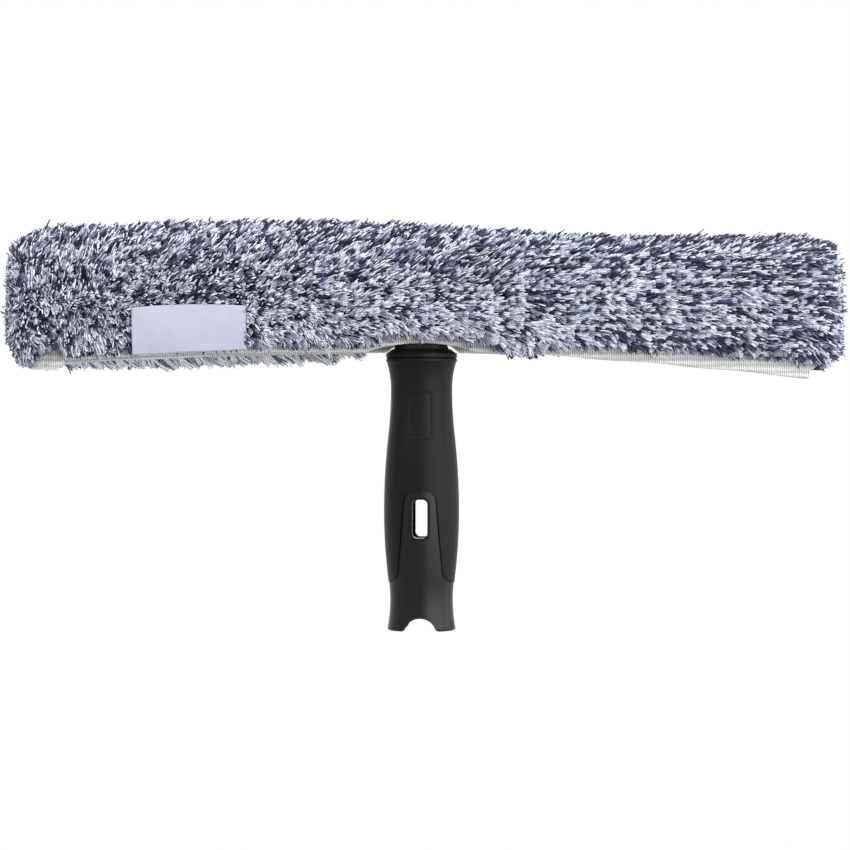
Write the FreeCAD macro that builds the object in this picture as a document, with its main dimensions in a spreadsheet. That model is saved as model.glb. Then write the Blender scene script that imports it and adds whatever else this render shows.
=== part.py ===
"""Window scrubber: a pole handle with a soft grip, a ribbed T-bar and a pile cloth sleeve.

Millimetres. +Z runs up the handle, +X along the crossbar and the front faces -Y.
The origin is the centre of the mouth of the pole socket, at the lower end of the handle.
"""

import FreeCAD
import Part
import Sketcher
import math
import os
from FreeCAD import Vector

SIZES = {
    # Handle, outwards from its socket below and from the stem above
    "handle_length": 153.5,
    "core_wall": 4.65,
    "mouth_flare": 0.9,
    "shank_curve": 86.0,
    "mouth_round": 1.2,
    "grip_end_height": 26.0,
    "grip_end_step": 0.3,
    "belly_swell": 2.6,
    "belly_share": 0.37,
    "taper_share": 0.62,
    "waist_wall": 2.1,
    "waist_drop": 21.5,
    "grip_wall": 2.0,
    "tongue_step": 0.8,
    # Collar at the top of the grip
    "collar_flare": 2.3,
    "collar_lip": 2.7,
    "collar_height": 6.7,
    "collar_slope": 2.5,
    "collar_land": 1.3,
    "collar_groove_rise": 1.7,
    "collar_groove_width": 0.9,
    "collar_groove_depth": 0.6,
    # Hard tongue that shows through the grip, front and back
    "tongue_top_height": 76.0,
    "tongue_top_width": 18.4,
    "tongue_foot_width": 24.4,
    "tongue_corner": 5.5,
    "tongue_flare": 7.0,
    # Pole socket, its lock slot and its scalloped mouth
    "socket_radius": 13.0,
    "socket_depth": 84.0,
    "slot_width": 8.2,
    "slot_length": 20.8,
    "slot_land": 4.4,
    "slot_corner": 2.6,
    "slot_rim": 1.4,
    "slot_rim_depth": 1.8,
    "scallop_width": 21.6,
    "scallop_depth": 7.2,
    "scallop_lobe": 3.0,
    # Stem of the T-bar in the top of the handle, with its key, screw and washer
    "web_thickness": 6.0,
    "stem_radius": 11.0,
    "key_width": 4.0,
    "key_height": 1.5,
    "fit_gap": 0.15,
    "seat_gap": 0.3,
    "screw_radius": 2.0,
    "screw_grip": 14.0,
    "screw_head_radius": 4.0,
    "screw_head_height": 2.6,
    "screw_recess_width": 1.0,
    "screw_recess_length": 4.6,
    "screw_recess_depth": 1.4,
    "washer_radius": 6.0,
    "washer_thickness": 1.0,
    # Neck and crossbar
    "neck_base_width": 30.0,
    "neck_base_swell": 0.6,
    "neck_waist_width": 26.0,
    "neck_waist_rise": 7.5,
    "neck_top_width": 50.0,
    "neck_height": 18.0,
    "neck_corner": 8.0,
    "bar_length": 435.0,
    "bar_depth": 22.0,
    "bar_height": 32.0,
    "bar_corner": 11.0,
    "bar_edge": 4.0,
    "bar_web": 3.2,
    "bar_flange": 6.0,
    "bar_rib": 3.6,
    "bar_end_wall": 12.0,
    "cell_count": 12,
    "cell_corner": 3.0,
    "drain_radius": 3.2,
    # Sleeve cloth and its pile
    "lift_gap": 0.5,
    "cloth_thickness": 2.2,
    "pile_top_left": 16.4,
    "pile_top_right": 8.8,
    "pile_side_left": 14.6,
    "pile_side_right": 11.4,
    "pile_plateau_left": 60.0,
    "pile_plateau_right": 100.0,
    "pile_flank_rise": 2.5,
    "pile_foot_margin": 3.8,
    "end_round": 20.0,
    "end_drop_left": 5.5,
    "end_drop_right": 3.5,
    "end_thickness_left": 9.5,
    "end_thickness_right": 11.5,
    # Hems: clearance over the collar, fall to both ends, and the tape folded over the edges
    "hem_clearance": 3.5,
    "hem_notch_width": 60.0,
    "hem_notch_rise": 5.4,
    "hem_bow": 1.8,
    "front_drop_left": 5.6,
    "front_drop_right": 15.6,
    "rear_drop_left": 7.2,
    "rear_drop_right": 10.0,
    "tape_height": 9.0,
    "tape_thickness": 0.6,
    "tape_fold": 1.2,
    "fastener_margin": 0.7,
    "fastener_thickness": 1.0,
    "fastener_end_gap": 12.0,
    # Label on the front
    "label_width": 62.0,
    "label_height": 24.6,
    "label_end_gap": 63.0,
    "label_foot": -0.6,
    "label_thickness": 0.7,
}

document = FreeCAD.newDocument("WindowScrubber")
sheet = document.addObject("Spreadsheet::Sheet", "Sizes")
for row, (alias, amount) in enumerate(SIZES.items(), start=1):
    sheet.set(f"A{row}", alias)
    sheet.set(f"B{row}", str(amount))
    sheet.setAlias(f"B{row}", alias)
document.recompute()


class Length:
    """A number together with the sheet formula that gives it."""

    def __init__(self, value, formula):
        self.value = float(value)
        self.formula = formula

    def combined(self, sign, other, value):
        """The length that a sign makes of this one and another."""
        return Length(value, f"({self.formula} {sign} {other.formula})")

    def __add__(self, other):
        other = length_of(other)
        return self.combined("+", other, self.value + other.value)

    def __sub__(self, other):
        other = length_of(other)
        return self.combined("-", other, self.value - other.value)

    def __mul__(self, other):
        other = length_of(other)
        return self.combined("*", other, self.value * other.value)

    def __truediv__(self, other):
        other = length_of(other)
        return self.combined("/", other, self.value / other.value)

    def __neg__(self):
        return Length(-self.value, f"(-{self.formula})")


def length_of(amount):
    """A plain number as a Length, and a Length as it is."""
    if isinstance(amount, Length):
        return amount
    return Length(amount, str(amount))


def size(alias):
    """The Length of one cell of the sheet."""
    return Length(sheet.get(alias), f"Sizes.{alias}")


def number(alias):
    """The plain number in one cell of the sheet."""
    return float(sheet.get(alias))


ZERO = length_of(0)

# Heights that several pieces share
TOP = size("handle_length")
GRIP_END = size("grip_end_height")
WAIST = TOP - size("waist_drop")
BELLY_HEIGHT = GRIP_END + (WAIST - GRIP_END) * size("belly_share")
COLLAR_BASE = TOP - size("collar_height")
SOCKET_TOP = size("socket_depth")
SCREW_SEAT = SOCKET_TOP + size("washer_thickness") + size("screw_head_height") + size("seat_gap")
STEM_SEAT = SCREW_SEAT + size("web_thickness")
BAR_FOOT = TOP + size("neck_height")
BAR_TOP = BAR_FOOT + size("bar_height")

# Radii of the handle: shank, lower end of the grip, its belly, and the bore and outside of its waist
SHANK = size("socket_radius") + size("core_wall")
GRIP_FOOT = SHANK + size("grip_end_step")
BELLY = GRIP_FOOT + size("belly_swell")
WAIST_BORE = size("stem_radius") + size("key_height") + size("fit_gap") + size("waist_wall")
WAIST_RADIUS = WAIST_BORE + size("grip_wall")
OUTSIDE = BELLY + size("grip_wall")

# Where the pile's section turns from flank to crown, and how far it draws in at its foot
SHOULDER_SHARE = 0.72
FOOT_SHARE = 0.62

# How far through its rounded end each section of the pile lies, and how much less its flanks draw in than its top
END_STEPS = (0.0, 0.4, 0.75, 1.0)
END_SIDE_SHARE = 0.5

# Sections of an end panel: shares of its thickness that they lie outwards and are drawn in
DOME_STEPS = ((0.0, 0.0), (0.4, 0.16), (0.75, 0.48), (1.0, 1.0))


class Drawing:
    """A sketch on one of its body's planes, with its points and radii tied to the sheet."""

    def __init__(self, body, name, plane, lift=None):
        self.sketch = body.newObject("Sketcher::SketchObject", name)
        support = next(p for p in body.Origin.OriginFeatures if p.Role == plane)
        self.sketch.AttachmentSupport = [(support, "")]
        self.sketch.MapMode = "FlatFace"
        if lift is not None:
            self.sketch.AttachmentOffset = FreeCAD.Placement(Vector(0, 0, lift.value), FreeCAD.Rotation())
            self.sketch.setExpression("AttachmentOffset.Base.z", lift.formula)

    def tie(self, kind, where, length):
        """Adds a constraint whose value follows a formula of the sheet."""
        index = self.sketch.addConstraint(Sketcher.Constraint(kind, *where, length.value))
        self.sketch.setExpression(f"Constraints[{index}]", length.formula)

    def tie_point(self, edge, end, x, y):
        """Ties one end of an edge to a place; ends that lie on an axis are put on that axis."""
        for axis, kind, length in ((-2, "DistanceX", x), (-1, "DistanceY", y)):
            if length is None:
                continue
            if length is ZERO:
                self.sketch.addConstraint(Sketcher.Constraint("PointOnObject", edge, end, axis))
            else:
                self.tie(kind, (-1, 1, edge, end), length)

    def join(self, edge, end, other, other_end):
        """Makes two ends one point."""
        self.sketch.addConstraint(Sketcher.Constraint("Coincident", edge, end, other, other_end))

    def line(self, start, end):
        """Draws a line between two (x, y) points and gives its number."""
        return self.sketch.addGeometry(Part.LineSegment(Vector(*start, 0), Vector(*end, 0)))

    def arc(self, centre, radius, first, last):
        """Draws an arc, anticlockwise between two angles, and gives its number."""
        circle = Part.Circle(Vector(*centre, 0), Vector(0, 0, 1), radius)
        return self.sketch.addGeometry(Part.ArcOfCircle(circle, first, last))

    def arc_between(self, start, end, radius):
        """Draws the short arc from start to end, anticlockwise for a radius above 0, and gives its number and ends."""
        middle = ((start[0] + end[0]) / 2, (start[1] + end[1]) / 2)
        across = (end[0] - start[0], end[1] - start[1])
        chord = math.hypot(*across)
        away = math.copysign(math.sqrt(max(radius**2 - chord**2 / 4, 0)), radius) / chord
        centre = (middle[0] - across[1] * away, middle[1] + across[0] * away)
        first = math.atan2(start[1] - centre[1], start[0] - centre[0])
        last = math.atan2(end[1] - centre[1], end[0] - centre[0])
        if radius < 0:
            first, last = last, first
        if last < first:
            last += 2 * math.pi
        ends = (1, 2) if radius > 0 else (2, 1)
        return self.arc(centre, abs(radius), first, last), *ends

    def outline(self, corners, rounds=None):
        """Closes a chain through (x, y) corners; rounds gives the radius of the arc that follows a corner."""
        rounds = rounds or {}
        points = [(x.value, y.value) for x, y in corners]
        edges = []
        for index, start in enumerate(points):
            end = points[(index + 1) % len(points)]
            if index in rounds:
                edge, first, last = self.arc_between(start, end, rounds[index].value)
                self.tie("Radius", (edge,), rounds[index] if first == 1 else -rounds[index])
                edges.append((edge, first, last))
            else:
                edges.append((self.line(start, end), 1, 2))
        for index, (edge, first, _) in enumerate(edges):
            before, _, last = edges[index - 1]
            self.join(before, last, edge, first)
            self.tie_point(edge, first, *corners[index])

    def rounded_box(self, left, right, foot, top, corner):
        """Closes a box with rounded corners."""
        corners = [
            (left + corner, foot),
            (right - corner, foot),
            (right, foot + corner),
            (right, top - corner),
            (right - corner, top),
            (left + corner, top),
            (left, top - corner),
            (left, foot + corner),
        ]
        self.outline(corners, {index: corner for index in (1, 3, 5, 7)})

    def circle(self, radius, x=ZERO, y=ZERO):
        """Draws a circle round a point."""
        edge = self.sketch.addGeometry(Part.Circle(Vector(x.value, y.value, 0), Vector(0, 0, 1), radius.value))
        self.tie_point(edge, 3, x, y)
        self.tie("Radius", (edge,), radius)


def new_body(label):
    """A body that is named for its piece."""
    body = document.addObject("PartDesign::Body", label)
    body.Label = label
    return body


def feature(body, kind, name, drawing, **settings):
    """A feature of a body on one drawing; settings that are Lengths are tied to the sheet."""
    made = body.newObject(f"PartDesign::{kind}", name)
    made.Profile = drawing.sketch
    for key, setting in settings.items():
        if isinstance(setting, Length):
            setattr(made, key, setting.value)
            made.setExpression(key, setting.formula)
        else:
            setattr(made, key, setting)
    drawing.sketch.Visibility = False
    document.recompute()
    return made


def pocket(body, name, drawing, **settings):
    """A pocket that is known to remove material."""
    before = body.Shape.Volume
    made = feature(body, "Pocket", name, drawing, **settings)
    if body.Shape.Volume >= before:
        raise RuntimeError(f"{name} cuts nothing")
    return made


def revolve(body, name, drawing):
    """A full turn of a drawing round its upright axis."""
    return feature(body, "Revolution", name, drawing, ReferenceAxis=(drawing.sketch, ["V_Axis"]), Angle=360.0)


def row_of(body, name, original, drawing, extent):
    """Repeats a feature along the crossbar, once for each cell."""
    pattern = body.newObject("PartDesign::LinearPattern", name)
    pattern.Originals = [original]
    pattern.Direction = (drawing.sketch, ["H_Axis"])
    pattern.Length = extent.value
    pattern.setExpression("Length", extent.formula)
    pattern.Occurrences = int(number("cell_count"))
    pattern.setExpression("Occurrences", "Sizes.cell_count")
    body.Tip = pattern
    document.recompute()
    return pattern


def curve_through(rise, swell):
    """The radius of an arc that bulges by swell at a distance of rise from its end."""
    return (rise * rise + swell * swell) / (swell * 2)


def grip_section(drawing):
    """Draws half of the grip's section: belly, taper, waist and collar outside, and the core's bed inside."""
    wall, share = size("grip_wall"), size("taper_share")
    fall, height = BELLY - WAIST_RADIUS, WAIST - BELLY_HEIGHT
    taper = curve_through(height, fall)
    groove, half = COLLAR_BASE + size("collar_groove_rise"), size("collar_groove_width") / 2
    rim = WAIST_RADIUS + size("collar_lip")
    drawing.outline(
        [
            (GRIP_FOOT, GRIP_END),
            (BELLY, BELLY_HEIGHT),
            (BELLY - fall * share, BELLY_HEIGHT + height * share),
            (WAIST_RADIUS, WAIST),
            (WAIST_RADIUS + size("collar_flare"), COLLAR_BASE),
            (rim, COLLAR_BASE),
            (rim, groove - half),
            (rim - size("collar_groove_depth"), groove),
            (rim, groove + half),
            (rim, TOP - size("collar_slope")),
            (WAIST_BORE + size("collar_land"), TOP),
            (WAIST_BORE, TOP),
            (WAIST_BORE, WAIST),
            (BELLY - wall, BELLY_HEIGHT),
            (GRIP_FOOT - wall, GRIP_END),
        ],
        {
            0: curve_through(BELLY_HEIGHT - GRIP_END, size("belly_swell")),
            1: taper * share,
            2: taper * share - taper,
            3: -curve_through(COLLAR_BASE - WAIST, size("collar_flare")),
        },
    )


def make_grip():
    """The soft grip: a shell round the core, open in a U at the front and back."""
    body = new_body("grip_overmould")
    section = Drawing(body, "grip_section", "XZ_Plane")
    grip_section(section)
    revolve(body, "grip_shell", section)
    top, corner = size("tongue_top_height"), size("tongue_corner")
    half, foot, flare = size("tongue_top_width") / 2, size("tongue_foot_width") / 2, size("tongue_flare")
    window = Drawing(body, "tongue_window", "XZ_Plane")
    window.outline(
        [
            (-OUTSIDE, ZERO),
            (OUTSIDE, ZERO),
            (OUTSIDE, GRIP_END),
            (foot + flare, GRIP_END),
            (foot, GRIP_END + flare),
            (half, top - corner),
            (half - corner, top),
            (corner - half, top),
            (-half, top - corner),
            (-foot, GRIP_END + flare),
            (-(foot + flare), GRIP_END),
            (-OUTSIDE, GRIP_END),
        ],
        {3: -flare, 5: corner, 7: corner, 9: -flare},
    )
    pocket(body, "tongue_windows", window, Type="ThroughAll", SideType="Symmetric")
    return body


def make_core(grip):
    """The hard core: pole socket, screw recess and stem socket in one turned section, less the grip's bed."""
    body = document.addObject("PartDesign::Body", "core_blank")
    socket, edge = size("socket_radius"), size("mouth_round")
    mouth = SHANK + size("mouth_flare")
    belly_top = BELLY_HEIGHT * 2 - GRIP_END
    tongue = BELLY - size("tongue_step")
    bed = WAIST_BORE + size("grip_wall") / 2
    stem_socket = size("stem_radius") + size("fit_gap")
    screw_hole = size("screw_radius") + size("fit_gap")
    head_room = size("washer_radius") + size("seat_gap")
    section = Drawing(body, "core_section", "XZ_Plane")
    section.outline(
        [
            (socket, ZERO),
            (mouth - edge, ZERO),
            (mouth, edge),
            (SHANK, GRIP_END),
            (SHANK, belly_top),
            (bed, WAIST),
            (bed, TOP),
            (stem_socket, TOP),
            (stem_socket, STEM_SEAT),
            (screw_hole, STEM_SEAT),
            (screw_hole, SCREW_SEAT),
            (head_room, SCREW_SEAT),
            (head_room, SOCKET_TOP),
            (socket, SOCKET_TOP),
        ],
        {1: edge, 2: -size("shank_curve"), 3: curve_through(BELLY_HEIGHT - GRIP_END, tongue - SHANK)},
    )
    revolve(body, "core_turning", section)

    half, depth, lobe = size("scallop_width") / 2, size("scallop_depth"), size("scallop_lobe")
    arch = (half * half + depth * depth - lobe * depth * 2) / (depth * 2)
    meet_x = half * arch / (arch + lobe)
    meet_y = lobe + lobe * (depth - arch - lobe) / (arch + lobe)
    scallop = Drawing(body, "scallop", "XZ_Plane")
    scallop.outline(
        [
            (-half, -depth),
            (half, -depth),
            (half, ZERO),
            (meet_x, meet_y),
            (-meet_x, meet_y),
            (-half, ZERO),
        ],
        {2: -lobe, 3: arch, 4: -lobe},
    )
    pocket(body, "scallops", scallop, Type="ThroughAll", SideType="Symmetric")

    width, length = size("slot_width") / 2, size("slot_length") / 2
    middle = size("tongue_top_height") - size("slot_land") - length
    corner, rim = size("slot_corner"), size("slot_rim")
    slot = Drawing(body, "slot", "XZ_Plane")
    slot.rounded_box(-width, width, middle - length, middle + length, corner)
    pocket(body, "slots", slot, Type="ThroughAll", SideType="Symmetric")
    rim_plane = tongue - size("slot_rim_depth")
    for side, lift, backwards in (("front", rim_plane, True), ("rear", -rim_plane, False)):
        recess = Drawing(body, f"slot_rim_{side}", "XZ_Plane", lift)
        recess.rounded_box(
            -(width + rim), width + rim, middle - length - rim, middle + length + rim, corner + rim
        )
        pocket(body, f"slot_recess_{side}", recess, Length=OUTSIDE, Reversed=backwards)

    keyway = Drawing(body, "keyway", "XY_Plane", STEM_SEAT)
    key_half = size("key_width") / 2 + size("fit_gap")
    key_top = size("stem_radius") + size("key_height") + size("fit_gap")
    keyway.outline([(-key_half, ZERO), (key_half, ZERO), (key_half, key_top), (-key_half, key_top)])
    pocket(body, "keyway_cut", keyway, Type="ThroughAll", Reversed=True)

    core = document.addObject("Part::Cut", "handle_core")
    core.Base = body
    core.Tool = grip
    core.Label = "handle_core"
    return core


def make_t_bar():
    """The T-bar: crossbar with rows of cells on both faces, a flared neck and a keyed stem."""
    body = new_body("t_bar")
    half_length, depth = size("bar_length") / 2, size("bar_depth")
    beam = Drawing(body, "beam", "XZ_Plane")
    beam.rounded_box(-half_length, half_length, BAR_FOOT, BAR_TOP, size("bar_corner"))
    block = feature(body, "Pad", "crossbar", beam, Length=depth, SideType="Symmetric")
    face_y = depth.value / 2
    rims = [
        f"Edge{index}"
        for index, edge in enumerate(block.Shape.Edges, start=1)
        if all(abs(abs(vertex.Y) - face_y) < 1e-6 for vertex in edge.Vertexes)
        and abs(edge.Vertexes[0].Y - edge.Vertexes[-1].Y) < 1e-6
    ]
    rounding = body.newObject("PartDesign::Fillet", "crossbar_edges")
    rounding.Base = (block, rims)
    rounding.Radius = number("bar_edge")
    rounding.setExpression("Radius", "Sizes.bar_edge")
    document.recompute()

    corner = size("neck_corner")
    rings = []
    for name, height, wide, deep in (
        ("neck_base", TOP, size("neck_base_width"), depth + size("neck_base_swell")),
        ("neck_waist", TOP + size("neck_waist_rise"), size("neck_waist_width"), depth),
        ("neck_top", BAR_FOOT + size("bar_edge"), size("neck_top_width"), depth - size("bar_edge") / 2),
    ):
        ring = Drawing(body, name, "XY_Plane", height)
        ring.rounded_box(-(wide / 2), wide / 2, -(deep / 2), deep / 2, corner)
        rings.append(ring)
    feature(body, "AdditiveLoft", "neck", rings[0], Sections=[ring.sketch for ring in rings[1:]])

    stem_foot = STEM_SEAT + size("seat_gap")
    stem = Drawing(body, "stem_ring", "XY_Plane", stem_foot)
    stem.circle(size("stem_radius"))
    feature(body, "Pad", "stem", stem, Length=TOP - stem_foot)
    key = Drawing(body, "key_face", "XY_Plane", stem_foot)
    key_half, key_top = size("key_width") / 2, size("stem_radius") + size("key_height")
    key.outline([(-key_half, ZERO), (key_half, ZERO), (key_half, key_top), (-key_half, key_top)])
    feature(body, "Pad", "key", key, Length=TOP - stem_foot)
    pilot = Drawing(body, "pilot_ring", "XY_Plane", stem_foot)
    pilot.circle(size("screw_radius") + size("fit_gap") / 2)
    pocket(body, "pilot_hole", pilot, Length=size("screw_grip"), Reversed=True)

    cells = size("cell_count")
    run = size("bar_length") - size("bar_end_wall") * 2
    pitch = run / cells
    first = -(run / 2) + size("bar_rib") / 2
    last = first + pitch - size("bar_rib")
    foot, top = BAR_FOOT + size("bar_flange"), BAR_TOP - size("bar_flange")
    cell_depth = depth / 2 - size("bar_web") / 2
    for side, lift, backwards in (("front", depth / 2, False), ("rear", -(depth / 2), True)):
        cell = Drawing(body, f"cell_{side}", "XZ_Plane", lift)
        cell.rounded_box(first, last, foot, top, size("cell_corner"))
        cut = pocket(body, f"cell_cut_{side}", cell, Length=cell_depth, Reversed=backwards)
        row_of(body, f"cells_{side}", cut, cell, run - pitch)
    drain = Drawing(body, "drain", "XZ_Plane")
    drain.circle(size("drain_radius"), (first + last) / 2, (foot + top) / 2)
    hole = pocket(body, "drain_cut", drain, Length=depth, SideType="Symmetric")
    row_of(body, "drains", hole, drain, run - pitch)
    return body


def make_screw():
    """The screw that comes up through the web into the stem, with a crossed recess in its head."""
    body = new_body("stem_screw")
    head_top = SCREW_SEAT - size("washer_thickness")
    head_foot = head_top - size("screw_head_height")
    tip = STEM_SEAT + size("screw_grip")
    radius, head = size("screw_radius"), size("screw_head_radius")
    section = Drawing(body, "screw_section", "XZ_Plane")
    section.outline(
        [
            (ZERO, head_foot),
            (head - size("screw_recess_width"), head_foot),
            (head, head_foot + size("screw_recess_width")),
            (head, head_top),
            (radius, head_top),
            (radius, tip - radius),
            (ZERO, tip),
        ]
    )
    revolve(body, "screw_turning", section)
    long_half, short_half = size("screw_recess_length") / 2, size("screw_recess_width") / 2
    for name, across, along in (("recess_x", long_half, short_half), ("recess_y", short_half, long_half)):
        arm = Drawing(body, name, "XY_Plane", head_foot)
        arm.outline([(-across, -along), (across, -along), (across, along), (-across, along)])
        pocket(body, f"{name}_cut", arm, Length=size("screw_recess_depth"), Reversed=True)
    return body


def make_washer():
    """The washer between the screw's head and the web."""
    body = new_body("stem_washer")
    under = SCREW_SEAT - size("washer_thickness")
    disc = Drawing(body, "washer_disc", "XY_Plane", under)
    disc.circle(size("washer_radius"))
    disc.circle(size("screw_radius") + size("fit_gap"))
    feature(body, "Pad", "washer", disc, Length=size("washer_thickness"))
    return body


class Sleeve:
    """The pile cloth pocket that drops over the crossbar, with its tapes, fasteners and label."""

    def __init__(self):
        self.half_length = number("bar_length") / 2 + number("lift_gap")
        self.bar_half = number("bar_depth") / 2
        stack = number("lift_gap") + number("fastener_thickness") + number("tape_thickness")
        self.inner = self.bar_half + stack
        self.outer = self.inner + number("cloth_thickness")
        self.ceiling = BAR_TOP.value + number("seat_gap")
        self.crown = self.ceiling + number("cloth_thickness")
        self.flank = BAR_FOOT.value + number("pile_flank_rise")
        self.hem_height = TOP.value + number("hem_clearance") - number("hem_notch_rise")
        drops = [number(f"{side}_drop_{hand}") for side in ("front", "rear") for hand in ("left", "right")]
        self.lowest = self.hem_height - max(drops) - number("pile_foot_margin")

    def hem(self, side, lift):
        """Edges of the front or rear hem line from left to right, raised by lift."""
        height, notch = self.hem_height + lift, number("hem_notch_width") / 2
        left = Vector(-self.half_length, 0, height - number(f"{side}_drop_left"))
        right = Vector(self.half_length, 0, height - number(f"{side}_drop_right"))
        notch_left, notch_right = Vector(-notch, 0, height), Vector(notch, 0, height)
        crest = Vector(0, 0, height + number("hem_notch_rise"))
        bow = Vector(0, 0, number("hem_bow"))
        return [
            Part.Arc(left, (left + notch_left) / 2 + bow, notch_left).toShape(),
            Part.Arc(notch_left, crest, notch_right).toShape(),
            Part.Arc(notch_right, (notch_right + right) / 2 + bow, right).toShape(),
        ]

    def level(self, height):
        """A straight edge across the sleeve at one height."""
        ends = [Vector(x, 0, height) for x in (-self.half_length, self.half_length)]
        return [Part.LineSegment(*ends).toShape()]

    def sheet_between(self, lower, upper, near, far):
        """A sheet bounded by two rows of edges, from depth near to depth far."""
        sides = [
            Part.LineSegment(row_a.Vertexes[end].Point, row_b.Vertexes[end].Point).toShape()
            for row_a, row_b, end in ((lower[0], upper[0], 0), (lower[-1], upper[-1], -1))
        ]
        wire = Part.Wire(Part.__sortEdges__(lower + upper + sides))
        face = Part.Face(wire)
        face.translate(Vector(0, near, 0))
        return face.extrude(Vector(0, far - near, 0))

    def ring(self, x, top, side, inset):
        """The sleeve's outer section at x: a straight foot and three arcs, for a pile of the given heights."""
        crest = self.crown + top - inset
        reach = self.outer + side - inset
        shoulder = Vector(x, reach * SHOULDER_SHARE, self.flank + (crest - self.flank) * SHOULDER_SHARE)
        foot = Vector(x, reach * FOOT_SHARE, self.lowest + inset)
        flank = Vector(x, reach, self.flank)
        points = {"foot": foot, "flank": flank, "shoulder": shoulder}
        front = {name: Vector(x, -point.y, point.z) for name, point in points.items()}
        edges = [
            Part.LineSegment(front["foot"], foot).toShape(),
            Part.Arc(foot, flank, shoulder).toShape(),
            Part.Arc(shoulder, Vector(x, 0, crest), front["shoulder"]).toShape(),
            Part.Arc(front["shoulder"], front["flank"], front["foot"]).toShape(),
        ]
        return Part.Wire(edges)

    def ring_at(self, hand, x, drawn, inset):
        """The section at x on the left or right half; drawn is the share of that end's drop that it has."""
        drop = number(f"end_drop_{hand}") * drawn
        side = number(f"pile_side_{hand}") - drop * END_SIDE_SHARE
        return self.ring(x, number(f"pile_top_{hand}") - drop, side, inset)

    def half_rings(self, hand, grown):
        """The sections of one half from its plateau out to its rounded end."""
        sign = 1 if hand == "right" else -1
        rings = [self.ring_at(hand, sign * number(f"pile_plateau_{hand}"), 0, -grown)]
        for step in END_STEPS:
            x = sign * (self.half_length - number("end_round") * (1 - step))
            rings.append(self.ring_at(hand, x, step**2, -grown))
        return rings

    def envelope(self, grown=0.0):
        """The outer form of the pile from end to end, grown all round."""
        rings = self.half_rings("left", grown)[::-1] + self.half_rings("right", grown)
        return Part.makeLoft(rings, True, True)

    def below_hem(self, side):
        """Everything under the pile on the front or rear half of the sleeve."""
        far = self.outer + number("pile_side_left") * 2
        reach = -far if side == "front" else far
        lower = self.level(self.lowest - number("tape_height"))
        return self.sheet_between(lower, self.hem(side, number("tape_height")), 0, reach)

    def flap(self, side):
        """The bare cloth of one face, from inside the hem tape up into the pile."""
        sign = -1 if side == "front" else 1
        lower = self.hem(side, number("tape_fold"))
        return self.sheet_between(lower, self.level(self.crown), sign * self.inner, sign * self.outer)

    def cloth(self):
        """The pile cloth as one piece, open below and at both ends."""
        hollow = Part.makeBox(
            self.half_length * 2,
            self.inner * 2,
            self.ceiling - self.lowest + number("tape_height"),
            Vector(-self.half_length, -self.inner, self.lowest - number("tape_height")),
        )
        pile = self.envelope()
        for side in ("front", "rear"):
            pile = pile.cut(self.below_hem(side))
        for side in ("front", "rear"):
            pile = pile.fuse(self.flap(side))
        return pile.cut(hollow).removeSplitter()

    def tape(self, side):
        """The tape folded over one hem, with the cloth's edge inside its fold."""
        sign = -1 if side == "front" else 1
        skin = number("tape_thickness")
        outside = self.sheet_between(
            self.hem(side, 0),
            self.hem(side, number("tape_height")),
            sign * (self.inner - skin),
            sign * (self.outer + skin),
        )
        inside = self.sheet_between(
            self.hem(side, number("tape_fold")),
            self.level(self.crown),
            sign * self.inner,
            sign * self.outer,
        )
        return outside.cut(inside)

    def fastener(self, side, hand):
        """Hook or loop tape on the inside of one hem, left or right of the neck."""
        sign = -1 if side == "front" else 1
        face = self.inner - number("tape_thickness")
        margin = number("fastener_margin")
        strip = self.sheet_between(
            self.hem(side, margin),
            self.hem(side, number("tape_height") - margin),
            sign * face,
            sign * (face - number("fastener_thickness")),
        )
        start = number("hem_notch_width") / 2 + number("fastener_end_gap")
        run = self.half_length - number("fastener_end_gap") - start
        first = start if hand == "right" else -start - run
        corner = Vector(first, -self.outer, self.lowest)
        return strip.common(Part.makeBox(run, self.outer * 2, self.crown - self.lowest, corner))

    def end_panel(self, hand):
        """The domed pile panel that closes one end."""
        sign = 1 if hand == "right" else -1
        thick = number(f"end_thickness_{hand}")
        start = sign * self.half_length
        rings = [
            self.ring_at(hand, start + sign * thick * out, 1, thick * drawn_in) for out, drawn_in in DOME_STEPS
        ]
        dome = Part.makeLoft(rings, True, True)
        foot = self.hem_height - number(f"front_drop_{hand}")
        reach = self.outer + number(f"pile_side_{hand}")
        corner = Vector(min(start, start + sign * thick), -reach, foot - self.lowest)
        return dome.cut(Part.makeBox(thick, reach * 2, self.lowest, corner))

    def label(self):
        """The label, which lies on the front of the pile just above the hem."""
        foot = self.hem_height + number("label_foot")
        left = number("label_end_gap") - self.half_length
        reach = self.outer + number("pile_side_left") * 2
        patch = Part.makeBox(
            number("label_width"), reach, number("label_height"), Vector(left, -reach, foot)
        )
        gap = number("seat_gap")
        return self.envelope(gap + number("label_thickness")).common(patch).cut(self.envelope(gap))

    def pieces(self):
        """Each cloth piece by name."""
        made = {"sleeve_fabric": self.cloth(), "label": self.label()}
        for side, fastener in (("front", "hook"), ("rear", "loop")):
            made[f"{side}_hem_tape"] = self.tape(side)
            for hand in ("left", "right"):
                made[f"{fastener}_tape_{hand}"] = self.fastener(side, hand)
        for hand in ("left", "right"):
            made[f"end_panel_{hand}"] = self.end_panel(hand)
        return made


def add_cloth_pieces():
    """Puts the sleeve's pieces into the document."""
    added = []
    for label, shape in Sleeve().pieces().items():
        piece = document.addObject("Part::Feature", label)
        piece.Shape = shape
        piece.Placement = FreeCAD.Placement()
        piece.Label = label
        added.append(piece)
    return added


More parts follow.
